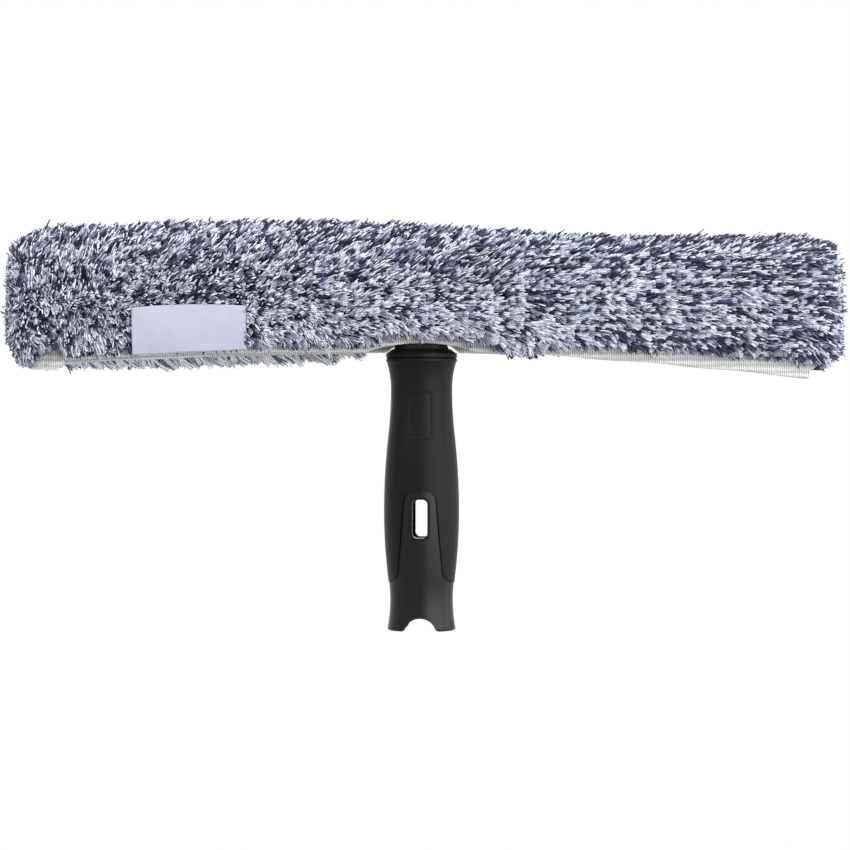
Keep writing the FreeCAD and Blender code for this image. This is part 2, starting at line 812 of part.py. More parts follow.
def write_parts(pieces):
    """Checks every object and piece, then writes one file for each piece."""
    document.recompute()
    for item in document.Objects:
        if "Invalid" in item.State or "Error" in item.State:
            raise RuntimeError(f"{item.Label} failed: {item.State}")
    for piece in pieces:
        if piece.Shape.isNull() or not piece.Shape.isValid() or len(piece.Shape.Solids) != 1:
            raise RuntimeError(f"{piece.Label} is not one sound solid")
    os.makedirs("parts", exist_ok=True)
    for piece in pieces:
        piece.Shape.exportStep(f"parts/{piece.Label}.step")
        print(f"{piece.Label}: {piece.Shape.Volume / 1000:.2f} cm3")


soft_grip = make_grip()
write_parts(
    [soft_grip, make_core(soft_grip), make_t_bar(), make_screw(), make_washer(), *add_cloth_pieces()]
)
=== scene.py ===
"""Looks of a window scrubber: pile sleeve, woven hems, label, soft grip and studio.

Metres, in the part's own frame: +Z runs up the handle, +X along the crossbar and the front faces -Y.
"""

import logging
import math
from dataclasses import dataclass, field
from enum import Enum
from typing import Any

import bpy
import numpy as np
from bpy.types import Material, Mesh, Node, NodeSocket, NodeTree, Object
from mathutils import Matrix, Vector


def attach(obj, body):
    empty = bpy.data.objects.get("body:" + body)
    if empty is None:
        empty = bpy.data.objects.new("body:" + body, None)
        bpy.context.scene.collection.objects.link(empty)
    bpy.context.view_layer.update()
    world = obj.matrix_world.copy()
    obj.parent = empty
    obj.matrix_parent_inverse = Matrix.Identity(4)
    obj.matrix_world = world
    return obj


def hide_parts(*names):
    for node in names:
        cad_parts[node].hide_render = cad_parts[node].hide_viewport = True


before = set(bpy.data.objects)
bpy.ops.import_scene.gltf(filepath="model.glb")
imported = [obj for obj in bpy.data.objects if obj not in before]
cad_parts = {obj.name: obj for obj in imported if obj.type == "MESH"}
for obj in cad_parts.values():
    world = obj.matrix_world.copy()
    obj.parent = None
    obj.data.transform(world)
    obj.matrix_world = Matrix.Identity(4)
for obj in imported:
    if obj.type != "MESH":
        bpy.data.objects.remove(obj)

LOG = logging.getLogger("scrubber")
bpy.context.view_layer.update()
MM = 0.001
SEED = 4107
BAKE_MAP = "OFBake"
TONE = "tone"
ALONG = "along"
FRONT_STEPS = 90
SECTION_STEPS = 400

Color = tuple[float, float, float]
Point = tuple[float, float, float]
Pair = tuple[float, float]
Array = np.ndarray


class Way(Enum):
    """One of two opposite ways, with its sign along an axis."""

    def of(self, pair: tuple) -> Any:
        """Takes this way's value from a pair, the negative way first."""
        return pair[0 if self.value < 0 else 1]


class Side(Way):
    """Face of the sleeve, with its sign along Y."""

    FRONT = -1
    REAR = 1


class Hand(Way):
    """End of the crossbar, with its sign along X."""

    LEFT = -1
    RIGHT = 1


class Body(str, Enum):
    """CAD body that a piece rides on."""

    HANDLE = "handle"
    SLEEVE = "sleeve"


class Slot(str, Enum):
    """Material slot of the record, one named for each piece."""

    RUBBER = "grip_rubber"
    PILE = "pile_cloth"
    TAPE = "hem_tape"
    FASTENER = "fastener_tape"
    LABEL = "label_cloth"


def unit(vectors: Array) -> Array:
    """Scales vectors, one per row, to a length of one."""
    return vectors / np.linalg.norm(vectors, axis=-1, keepdims=True)


@dataclass(frozen=True)
class Course:
    """Value that runs straight from station to station and stays level past the last ones.

    Attributes:
        stations: rising places.
        values: value at each place.
        step: size of one unit of the stations.
        scale: size of one unit of the values.
    """

    stations: tuple[float, ...]
    values: tuple[float, ...]
    step: float = 1.0
    scale: float = 1.0

    def at(self, place: Array) -> Array:
        """Reads the value at each place."""
        return np.interp(place, np.array(self.stations) * self.step, np.array(self.values) * self.scale)


def along_bar(stations: tuple[float, ...], values: tuple[float, ...], scale: float = 1.0) -> Course:
    """Makes a course along the crossbar, with its stations in millimetres."""
    return Course(stations, values, MM, scale)


EVERYWHERE = Course((0.0,), (1.0,))


class SmoothNoise:
    """Repeatable smooth noise over two lengths, about -1 to 1."""

    def __init__(self, rng: np.random.Generator, wavelength: float, waves: int = 7) -> None:
        """Draws the waves that the noise is a sum of.

        Args:
            rng: source of the random directions, lengths and phases.
            wavelength: middle wavelength in metres.
            waves: how many waves are added up.
        """
        course = rng.uniform(0.0, math.tau, waves)
        rate = math.tau / (wavelength * rng.uniform(0.7, 1.5, waves))
        self.rates = np.stack([rate * np.cos(course), rate * np.sin(course)])
        self.phases = rng.uniform(0.0, math.tau, waves)
        self.share = math.sqrt(2.0 / waves) / 1.6

    def at(self, first: Array, second: Array) -> Array:
        """Reads the noise.

        Args:
            first: places along the first direction, in metres.
            second: places along the second direction, in metres.

        Returns:
            One value for each place.
        """
        first, second = np.broadcast_arrays(first, second)
        waves = first[..., None] * self.rates[0] + second[..., None] * self.rates[1] + self.phases
        return np.sin(waves).sum(axis=-1) * self.share


@dataclass
class Surface:
    """Points and faces of a piece before they become a mesh.

    Attributes:
        points: three coordinates per row.
        quads: four point numbers per row.
        triangles: three point numbers per row.
        bake: place of each face corner on the bake map, quads first, or None.
        values: named numbers, one per point.
        normals: shading normal of each point, or None.
    """

    points: Array
    quads: Array
    triangles: Array = field(default_factory=lambda: np.empty((0, 3), dtype=int))
    bake: Array | None = None
    values: dict[str, Array] = field(default_factory=dict)
    normals: Array | None = None

    @classmethod
    def from_grid(cls, grid: Array, closed: bool = False) -> "Surface":
        """Makes a surface from a grid of points.

        Args:
            grid: rows by columns by three coordinates.
            closed: True if the last row joins the first one.

        Returns:
            The surface, with one quad per grid cell.
        """
        rows, columns = grid.shape[:2]
        number = np.arange(rows * columns).reshape(rows, columns)
        if closed:
            number = np.vstack([number, number[:1]])
        corners = [number[:-1, :-1], number[:-1, 1:], number[1:, 1:], number[1:, :-1]]
        return cls(grid.reshape(-1, 3), np.stack(corners, axis=-1).reshape(-1, 4))

    def mesh(self, name: str) -> Mesh:
        """Makes a smooth Blender mesh.

        Args:
            name: name of the mesh.

        Returns:
            The new mesh.
        """
        mesh = bpy.data.meshes.new(name)
        corners = np.concatenate([self.quads.ravel(), self.triangles.ravel()])
        counts = np.concatenate([np.full(len(self.quads), 4), np.full(len(self.triangles), 3)])
        starts = np.cumsum(counts) - counts
        mesh.vertices.add(len(self.points))
        mesh.vertices.foreach_set("co", self.points.astype(np.float32).ravel())
        mesh.loops.add(len(corners))
        mesh.loops.foreach_set("vertex_index", corners.astype(np.int32))
        mesh.polygons.add(len(counts))
        mesh.polygons.foreach_set("loop_start", starts.astype(np.int32))
        mesh.update(calc_edges=True)
        for label, numbers in self.values.items():
            layer = mesh.attributes.new(label, "FLOAT", "POINT")
            layer.data.foreach_set("value", numbers.astype(np.float32))
        if self.bake is not None:
            layer = mesh.uv_layers.new(name=BAKE_MAP)
            layer.data.foreach_set("uv", self.bake.astype(np.float32).ravel())
        mesh.polygons.foreach_set("use_smooth", np.ones(len(counts), dtype=bool))
        mesh.validate()
        if self.normals is not None:
            mesh.normals_split_custom_set_from_vertices(self.normals)
        return mesh


@dataclass(frozen=True)
class RodShape:
    """Short bent rods in one surface: strands of pile or stitches of thread.

    Attributes:
        sides: corners of a rod's section.
        widths: share of the radius at each ring from start to end.
        cap: share of a rod's cell on the bake map that its end takes.
        cap_fill: share of that strip that the end fills.
        margin: share of a cell left free all round.
    """

    sides: int = 3
    widths: tuple[float, ...] = (0.85, 1.0, 0.68)
    cap: float = 0.14
    cap_fill: float = 0.8
    margin: float = 0.06

    def surface(self, start: Array, bend: Array, end: Array, radius: Array, twist: Array) -> Surface:
        """Makes all rods.

        Args:
            start: where each rod starts.
            bend: point that each rod is drawn towards between its ends.
            end: where each rod ends.
            radius: radius of each rod.
            twist: turn of each rod's section, in radians.

        Returns:
            The rods' surface, with the place along the rod as a value and with its bake map.
        """
        rings = len(self.widths)
        along = np.linspace(0.0, 1.0, rings)
        step = along[None, :, None]
        line = (1 - step) ** 2 * start[:, None] + 2 * step * (1 - step) * bend[:, None]
        line = line + step**2 * end[:, None]
        axis = unit(end - start)
        helper = np.where(np.abs(axis[:, 2:]) < 0.9, (0.0, 0.0, 1.0), (1.0, 0.0, 0.0))
        across = unit(np.cross(axis, helper))
        other = np.cross(axis, across)
        angle = (twist[:, None] + math.tau * np.arange(self.sides) / self.sides)[..., None]
        spokes = np.cos(angle) * across[:, None] + np.sin(angle) * other[:, None]
        width = radius[:, None] * np.array(self.widths)
        points = line[:, :, None] + width[:, :, None, None] * spokes[:, None]
        number = np.arange(len(start) * rings * self.sides).reshape(-1, rings, self.sides)
        turned = np.roll(number, -1, axis=2)
        quads = np.stack([number[:, :-1], turned[:, :-1], turned[:, 1:], number[:, 1:]], axis=-1)
        last = number[:, -1]
        fan = [np.stack([last[:, 0], last[:, k], last[:, k + 1]], axis=-1) for k in range(1, self.sides - 1)]
        values = {ALONG: np.tile(np.repeat(along, self.sides), len(start))}
        triangles = np.stack(fan, axis=1).reshape(-1, 3)
        normals = np.broadcast_to(spokes[:, None], points.shape).reshape(-1, 3)
        bake = self.bake_map(len(start))
        return Surface(points.reshape(-1, 3), quads.reshape(-1, 4), triangles, bake, values, normals)

    def bake_map(self, count: int) -> Array:
        """Gives every rod a cell of its own on the bake map.

        Args:
            count: how many rods there are.

        Returns:
            The place of each face corner, all quads first.
        """
        side = math.ceil(math.sqrt(count))
        index = np.arange(count)
        cell = np.stack([index % side, index // side], axis=-1)
        rings, turns = np.meshgrid(np.arange(len(self.widths) - 1), np.arange(self.sides), indexing="ij")
        corners = [(0, 0), (1, 0), (1, 1), (0, 1)]
        reach = np.array([1.0 / self.sides, (1.0 - self.cap) / (len(self.widths) - 1)])
        walls = np.stack([np.stack([turns + u, rings + v], axis=-1) * reach for u, v in corners], axis=-2)
        foot = 1.0 - self.cap * self.cap_fill
        ends = [
            [(0.0, foot), ((k + 1) / self.sides, foot), ((k + 2) / self.sides, 1.0)]
            for k in range(self.sides - 2)
        ]
        places = []
        for local in (walls.reshape(-1, 2), np.array(ends).reshape(-1, 2)):
            inner = self.margin + (1.0 - 2.0 * self.margin) * local
            places.append(((cell[:, None] + inner[None]) / side).reshape(-1, 2))
        return np.concatenate(places)


@dataclass(frozen=True)
class Piece:
    """How a finished surface joins the scene.

    Attributes:
        name: name of the object.
        body: body that it rides on.
        slot: material slot of the record.
        stands_for: CAD nodes that it replaces.
    """

    name: str
    body: Body
    slot: Slot
    stands_for: tuple[str, ...] = ()

    def place(self, surface: Surface, material: Material, thickness: float = 0.0) -> Object:
        """Adds the piece to the scene.

        Args:
            surface: form of the piece.
            material: finish of the piece.
            thickness: depth that is given to an open sheet, half to each side.

        Returns:
            The new object.
        """
        mesh = surface.mesh(self.name)
        mesh.materials.append(material)
        made = bpy.data.objects.new(self.name, mesh)
        bpy.context.scene.collection.objects.link(made)
        if thickness:
            solid = made.modifiers.new("thickness", "SOLIDIFY")
            solid.thickness = thickness
            solid.offset = 0.0
        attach(made, self.body.value)
        if self.stands_for:
            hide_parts(*self.stands_for)
        return made


class Graph:
    """Short way to add and link shader nodes."""

    def __init__(self, tree: NodeTree) -> None:
        """Keeps the tree that nodes are added to."""
        self.tree = tree

    def feed(self, node: Node, inputs: dict) -> None:
        """Sets or links inputs of a node.

        Args:
            node: node to feed.
            inputs: value or output socket for each input, by name or number.
        """
        for label, value in inputs.items():
            if isinstance(value, NodeSocket):
                self.tree.links.new(value, node.inputs[label])
            else:
                node.inputs[label].default_value = value

    def add(self, kind: str, inputs: dict | None = None, **settings: Any) -> Node:
        """Adds one node.

        Args:
            kind: Blender's name of the node's type.
            inputs: value or output socket for each input, by name or number.
            settings: properties of the node.

        Returns:
            The new node.
        """
        node = self.tree.nodes.new(kind)
        for label, value in settings.items():
            setattr(node, label, value)
        self.feed(node, inputs or {})
        return node

    def group(self, tree: NodeTree, inputs: dict) -> bpy.types.bpy_prop_collection:
        """Places a node group and gives its outputs."""
        return self.add("ShaderNodeGroup", inputs, node_tree=tree).outputs

    def math(self, operation: str, first: Any, second: Any = 0.0) -> NodeSocket:
        """Adds one calculation with two values or sockets."""
        return self.add("ShaderNodeMath", {0: first, 1: second}, operation=operation).outputs[0]

    def linear(self, value: Any, factor: float, offset: float) -> NodeSocket:
        """Multiplies a value and adds an offset."""
        return self.math("ADD", self.math("MULTIPLY", value, factor), offset)

    def scale(self, color: Any, factor: Any) -> NodeSocket:
        """Multiplies a colour by a factor."""
        inputs = {0: color, "Scale": factor}
        return self.add("ShaderNodeVectorMath", inputs, operation="SCALE").outputs["Vector"]

    def bump(self, height: Any, distance: Any) -> NodeSocket:
        """Turns a height into a bumped normal."""
        return self.add("ShaderNodeBump", {"Height": height, "Distance": distance}).outputs["Normal"]


class Effects:
    """Node groups that several finishes share: fine grain, drifting tone and woven ribs."""

    FLOAT = "NodeSocketFloat"
    COLOR = "NodeSocketColor"
    VECTOR = "NodeSocketVector"
    STIR_SCALE = 260.0
    STIR_TURNS = 0.7

    def __init__(self) -> None:
        """Builds each group once."""
        self.grain = self._grain()
        self.drift = self._drift()
        self.weave = self._weave()

    @staticmethod
    def _group(name: str, inputs: dict[str, str], outputs: dict[str, str]) -> tuple:
        """Starts a group.

        Args:
            name: name of the group.
            inputs: socket type of each input.
            outputs: socket type of each output.

        Returns:
            The group, its graph, and its input and output nodes.
        """
        group = bpy.data.node_groups.new(name, "ShaderNodeTree")
        for way, sockets in (("INPUT", inputs), ("OUTPUT", outputs)):
            for label, kind in sockets.items():
                group.interface.new_socket(label, in_out=way, socket_type=kind)
        graph = Graph(group)
        return group, graph, graph.add("NodeGroupInput"), graph.add("NodeGroupOutput")

    @staticmethod
    def _noise(graph: Graph, given: Node, detail: float, roughness: float) -> NodeSocket:
        """Adds noise of the size that a group is given.

        Args:
            graph: graph of the group.
            given: input node of the group.
            detail: how many finer layers the noise has.
            roughness: strength of the finer layers.

        Returns:
            The socket with the noise.
        """
        place = graph.add("ShaderNodeTexCoord").outputs["Object"]
        scale = graph.math("DIVIDE", 1.0, given.outputs["Size"])
        inputs = {"Vector": place, "Scale": scale, "Detail": detail, "Roughness": roughness}
        return graph.add("ShaderNodeTexNoise", inputs).outputs["Fac"]

    def _grain(self) -> NodeTree:
        """Builds a fine irregular grain with its bump.

        Returns:
            The group.
        """
        inputs = {"Size": self.FLOAT, "Depth": self.FLOAT}
        outputs = {"Mask": self.FLOAT, "Normal": self.VECTOR}
        group, graph, given, made = self._group("fine_grain", inputs, outputs)
        noise = self._noise(graph, given, 3.0, 0.6)
        graph.feed(made, {"Mask": noise, "Normal": graph.bump(noise, given.outputs["Depth"])})
        return group

    def _drift(self) -> NodeTree:
        """Builds a slow drift of a colour's brightness.

        Returns:
            The group.
        """
        inputs = {"Color": self.COLOR, "Size": self.FLOAT, "Amount": self.FLOAT}
        group, graph, given, made = self._group("tone_drift", inputs, {"Color": self.COLOR})
        noise = self._noise(graph, given, 4.0, 0.55)
        swing = graph.math("MULTIPLY", graph.math("SUBTRACT", noise, 0.5), given.outputs["Amount"])
        factor = graph.linear(swing, 2.0, 1.0)
        graph.feed(made, {"Color": graph.scale(given.outputs["Color"], factor)})
        return group

    def _weave(self) -> NodeTree:
        """Builds threads that cross along X and Z, with their bump.

        Returns:
            The group.
        """
        inputs = dict.fromkeys(("Pitch X", "Pitch Z", "Cross", "Depth"), self.FLOAT)
        outputs = {"Mask": self.FLOAT, "Normal": self.VECTOR}
        group, graph, given, made = self._group("woven_ribs", inputs, outputs)
        place = graph.add("ShaderNodeTexCoord").outputs["Object"]
        noise = {"Vector": place, "Scale": self.STIR_SCALE, "Detail": 2.0}
        stir = graph.add("ShaderNodeTexNoise", noise).outputs["Fac"]
        stir = graph.math("MULTIPLY", stir, self.STIR_TURNS)
        split = graph.add("ShaderNodeSeparateXYZ", {"Vector": place})
        waves = []
        for axis in ("X", "Z"):
            turns = graph.math("DIVIDE", split.outputs[axis], given.outputs[f"Pitch {axis}"])
            turns = graph.math("ADD", turns, stir)
            wave = graph.math("SINE", graph.math("MULTIPLY", turns, math.tau))
            waves.append(graph.linear(wave, 0.5, 0.5))
        crossing = graph.math("MULTIPLY", waves[1], given.outputs["Cross"])
        rest = graph.math("SUBTRACT", 1.0, given.outputs["Cross"])
        mask = graph.math("ADD", graph.math("MULTIPLY", waves[0], rest), crossing)
        graph.feed(made, {"Mask": mask, "Normal": graph.bump(mask, given.outputs["Depth"])})
        return group


@dataclass(frozen=True)
class Finish:
    """What every finish has.

    Attributes:
        name: name of the material.
        color: middle colour.
        roughness: middle roughness.
        drift: length of the colour's slow drift, and the share of its brightness that drifts.
        specular: strength of the surface reflection.
    """

    name: str
    color: Color
    roughness: float
    drift: Pair = (6.0 * MM, 0.1)
    specular: float = 0.5

    def start(self) -> tuple[Material, Graph, Node]:
        """Starts the material.

        Returns:
            The material, its graph and its surface shader.
        """
        material = bpy.data.materials.new(self.name)
        material.use_nodes = True
        material.diffuse_color = (*self.color, 1.0)
        graph, shader = Graph(material.node_tree), material.node_tree.nodes["Principled BSDF"]
        graph.feed(shader, {"Base Color": (*self.color, 1.0), "Roughness": self.roughness})
        graph.feed(shader, {"Specular IOR Level": self.specular})
        return material, graph, shader

    def drifting(self, graph: Graph, effects: Effects, color: Any = None) -> NodeSocket:
        """Adds a slow drift to a colour.

        Args:
            graph: graph of the material.
            effects: shared node groups.
            color: socket with the colour, or None for the finish's own.

        Returns:
            The socket with the drifting colour.
        """
        size, amount = self.drift
        middle = (*self.color, 1.0) if color is None else color
        return graph.group(effects.drift, {"Color": middle, "Size": size, "Amount": amount})["Color"]


@dataclass(frozen=True)
class MouldedFinish(Finish):
    """Moulded black plastic or soft rubber with a fine spark-eroded grain.

    Attributes:
        grain: size of the grain.
        depth: depth of the grain.
        spread: spread of the roughness over the grain.
        bloom: sheen of a soft-touch skin.
        bloom_roughness: roughness of that sheen.
    """

    drift: Pair = (14.0 * MM, 0.16)
    grain: float = 0.3 * MM
    depth: float = 0.012 * MM
    spread: float = 0.22
    bloom: float = 0.0
    bloom_roughness: float = 0.6

    def make(self, effects: Effects) -> Material:
        """Makes the material.

        Args:
            effects: shared node groups.

        Returns:
            The material.
        """
        material, graph, shader = self.start()
        grain = graph.group(effects.grain, {"Size": self.grain, "Depth": self.depth})
        swing = graph.math("SUBTRACT", grain["Mask"], 0.5)
        graph.feed(
            shader,
            {
                "Base Color": self.drifting(graph, effects),
                "Roughness": graph.linear(swing, self.spread, self.roughness),
                "Normal": grain["Normal"],
                "Sheen Weight": self.bloom,
                "Sheen Roughness": self.bloom_roughness,
            },
        )
        return material


@dataclass(frozen=True)
class SteelFinish(Finish):
    """Plain turned steel with fine scratches.

    Attributes:
        scratch: size of the scratches.
        depth: depth of the scratches.
        spread: spread of the roughness over the scratches.
    """

    drift: Pair = (2.0 * MM, 0.2)
    scratch: float = 0.15 * MM
    depth: float = 0.01 * MM
    spread: float = 0.2

    def make(self, effects: Effects) -> Material:
        """Makes the material.

        Args:
            effects: shared node groups.

        Returns:
            The material.
        """
        material, graph, shader = self.start()
        grain = graph.group(effects.grain, {"Size": self.scratch, "Depth": self.depth})
        graph.feed(
            shader,
            {
                "Base Color": self.drifting(graph, effects),
                "Roughness": graph.linear(grain["Mask"], self.spread, self.roughness),
                "Normal": grain["Normal"],
                "Metallic": 1.0,
            },
        )
        return material


@dataclass(frozen=True)
class PileFinish(Finish):
    """Two-coloured pile: each strand's tone picks its colour; painted shade darkens roots below tips."""

    drift: Pair = (1.5 * MM, 0.2)
    specular: float = 0.2
    # Place and colour of each stop of the colour ramp.
    stops: tuple[tuple[float, Color], ...] = (
        (0.0, (0.006, 0.007, 0.018)),
        (0.22, (0.066, 0.074, 0.155)),
        (0.5, (0.25, 0.27, 0.36)),
        (0.75, (0.545, 0.575, 0.655)),
        (1.0, (0.80, 0.82, 0.865)),
    )
    # Painted shade: a white strand's root brightness, and where along a strand it starts to rise and is full.
    root: float = 0.26
    rise: Pair = (0.1, 0.62)
    # Size and height of the fibres, and their sheen with its roughness.
    grain: float = 0.3 * MM
    depth: float = 0.05 * MM
    sheen: float = 0.12
    sheen_roughness: float = 0.45

    def make(self, effects: Effects) -> Material:
        """Makes the material.

        Args:
            effects: shared node groups.

        Returns:
            The material.
        """
        material, graph, shader = self.start()
        tone = graph.add("ShaderNodeAttribute", attribute_name=TONE).outputs["Fac"]
        along = graph.add("ShaderNodeAttribute", attribute_name=ALONG).outputs["Fac"]
        ramp = graph.add("ShaderNodeValToRGB", {"Fac": tone})
        elements = ramp.color_ramp.elements
        while len(elements) < len(self.stops):
            elements.new(0.5)
        for element, (place, color) in zip(elements, self.stops):
            element.position = place
            element.color = (*color, 1.0)
        color = self.drifting(graph, effects, ramp.outputs["Color"])
        low, high = self.rise
        # Painted shade: roots darker than tips, blue roots darker than white ones.
        root = graph.math("MULTIPLY", tone, self.root)
        limits = {"Value": along, "From Min": low, "From Max": high, "To Min": root, "To Max": 1.0}
        shade = graph.add("ShaderNodeMapRange", limits, interpolation_type="SMOOTHSTEP").outputs["Result"]
        grain = graph.group(effects.grain, {"Size": self.grain, "Depth": self.depth})
        graph.feed(
            shader,
            {
                "Base Color": graph.scale(color, shade),
                "Normal": grain["Normal"],
                "Sheen Weight": self.sheen,
                "Sheen Roughness": self.sheen_roughness,
            },
        )
        return material


@dataclass(frozen=True)
class WovenFinish(Finish):
    """Woven white cloth: ribbed tape, plain label or the sleeve's backing.

    Attributes:
        pitch: distance of the threads along X and along Z.
        cross: share of the threads that run along X.
        depth: height of the threads.
        shade: brightness between the threads, a painted shade in their grooves.
        sheen: sheen of the threads.
    """

    specular: float = 0.25
    pitch: Pair = (0.5 * MM, 0.5 * MM)
    cross: float = 0.5
    depth: float = 0.12 * MM
    shade: float = 0.72
    sheen: float = 0.15

    def make(self, effects: Effects) -> Material:
        """Makes the material.

        Args:
            effects: shared node groups.

        Returns:
            The material.
        """
        material, graph, shader = self.start()
        sizes = {"Pitch X": self.pitch[0], "Pitch Z": self.pitch[1]}
        weave = graph.group(effects.weave, {**sizes, "Cross": self.cross, "Depth": self.depth})
        # Painted shade between the threads.
        shade = graph.linear(weave["Mask"], 1.0 - self.shade, self.shade)
        color = graph.scale(self.drifting(graph, effects), shade)
        graph.feed(shader, {"Base Color": color, "Normal": weave["Normal"], "Sheen Weight": self.sheen})
        return material


@dataclass(frozen=True)
class FastenerFinish(Finish):
    """Hook or loop tape: a dense field of small hooks or curls on a woven ground."""

    drift: Pair = (4.0 * MM, 0.1)
    specular: float = 0.3
    # Distance of the hooks or curls, their height in the bump, and share of chance in their places.
    pitch: float = 1.1 * MM
    depth: float = 0.5 * MM
    order: float = 0.2
    # How steeply they fall from their middles, painted light that height adds, painted shade between them.
    dome: float = 1.3
    painted_dome_light: float = 0.5
    shade: float = 0.55

    def make(self, effects: Effects) -> Material:
        """Makes the material.

        Args:
            effects: shared node groups.

        Returns:
            The material.
        """
        material, graph, shader = self.start()
        place = graph.add("ShaderNodeTexCoord").outputs["Object"]
        inputs = {"Vector": place, "Scale": 1.0 / self.pitch, "Randomness": self.order}
        cells = graph.add("ShaderNodeTexVoronoi", inputs).outputs["Distance"]
        height = graph.linear(cells, -self.dome, 1.0)
        # Painted light on the tops of the hooks and curls, painted shade between them.
        shade = graph.linear(height, self.painted_dome_light, self.shade)
        color = graph.scale(self.drifting(graph, effects), shade)
        graph.feed(shader, {"Base Color": color, "Normal": graph.bump(height, self.depth)})
        return material


class Palette:
    """All finishes of the object, made once."""

    def __init__(self) -> None:
        """Makes the shared effects and then each material."""
        effects = Effects()
        black = (0.0025, 0.0025, 0.0027)
        self.core = MouldedFinish(
            "satin_core", black, 0.35, specular=0.2, grain=0.28 * MM, depth=0.010 * MM
        ).make(effects)
        self.grip = MouldedFinish(
            "soft_grip", black, 0.44, specular=0.11, grain=0.4 * MM, depth=0.014 * MM, bloom=0.01
        ).make(effects)
        self.bar = MouldedFinish("bar_plastic", (0.014, 0.014, 0.015), 0.42, specular=0.2).make(effects)
        self.steel = SteelFinish("screw_steel", (0.55, 0.55, 0.55), 0.28).make(effects)
        self.pile = PileFinish("two_tone_pile", (0.36, 0.38, 0.52), 0.88).make(effects)
        self.tape = WovenFinish(
            "ribbed_tape", (0.86, 0.865, 0.87), 0.82,
            pitch=(1.0 * MM, 3.4 * MM), cross=0.3, depth=0.2 * MM, shade=0.26,
        ).make(effects)
        self.backing = WovenFinish(
            "sleeve_backing", (0.66, 0.67, 0.72), 0.88, pitch=(0.8 * MM, 0.8 * MM), depth=0.15 * MM
        ).make(effects)
        self.label = WovenFinish(
            "woven_label", (0.425, 0.44, 0.54), 0.7,
            pitch=(0.42 * MM, 0.36 * MM), depth=0.05 * MM, shade=0.86,
        ).make(effects)
        self.thread = WovenFinish("white_thread", (0.84, 0.84, 0.88), 0.6).make(effects)
        self.hook = FastenerFinish("hook_tape", (0.80, 0.80, 0.83), 0.5).make(effects)
        self.loop = FastenerFinish(
            "loop_tape", (0.84, 0.84, 0.86), 0.9, pitch=0.7 * MM, depth=0.4 * MM, order=1.0
        ).make(effects)


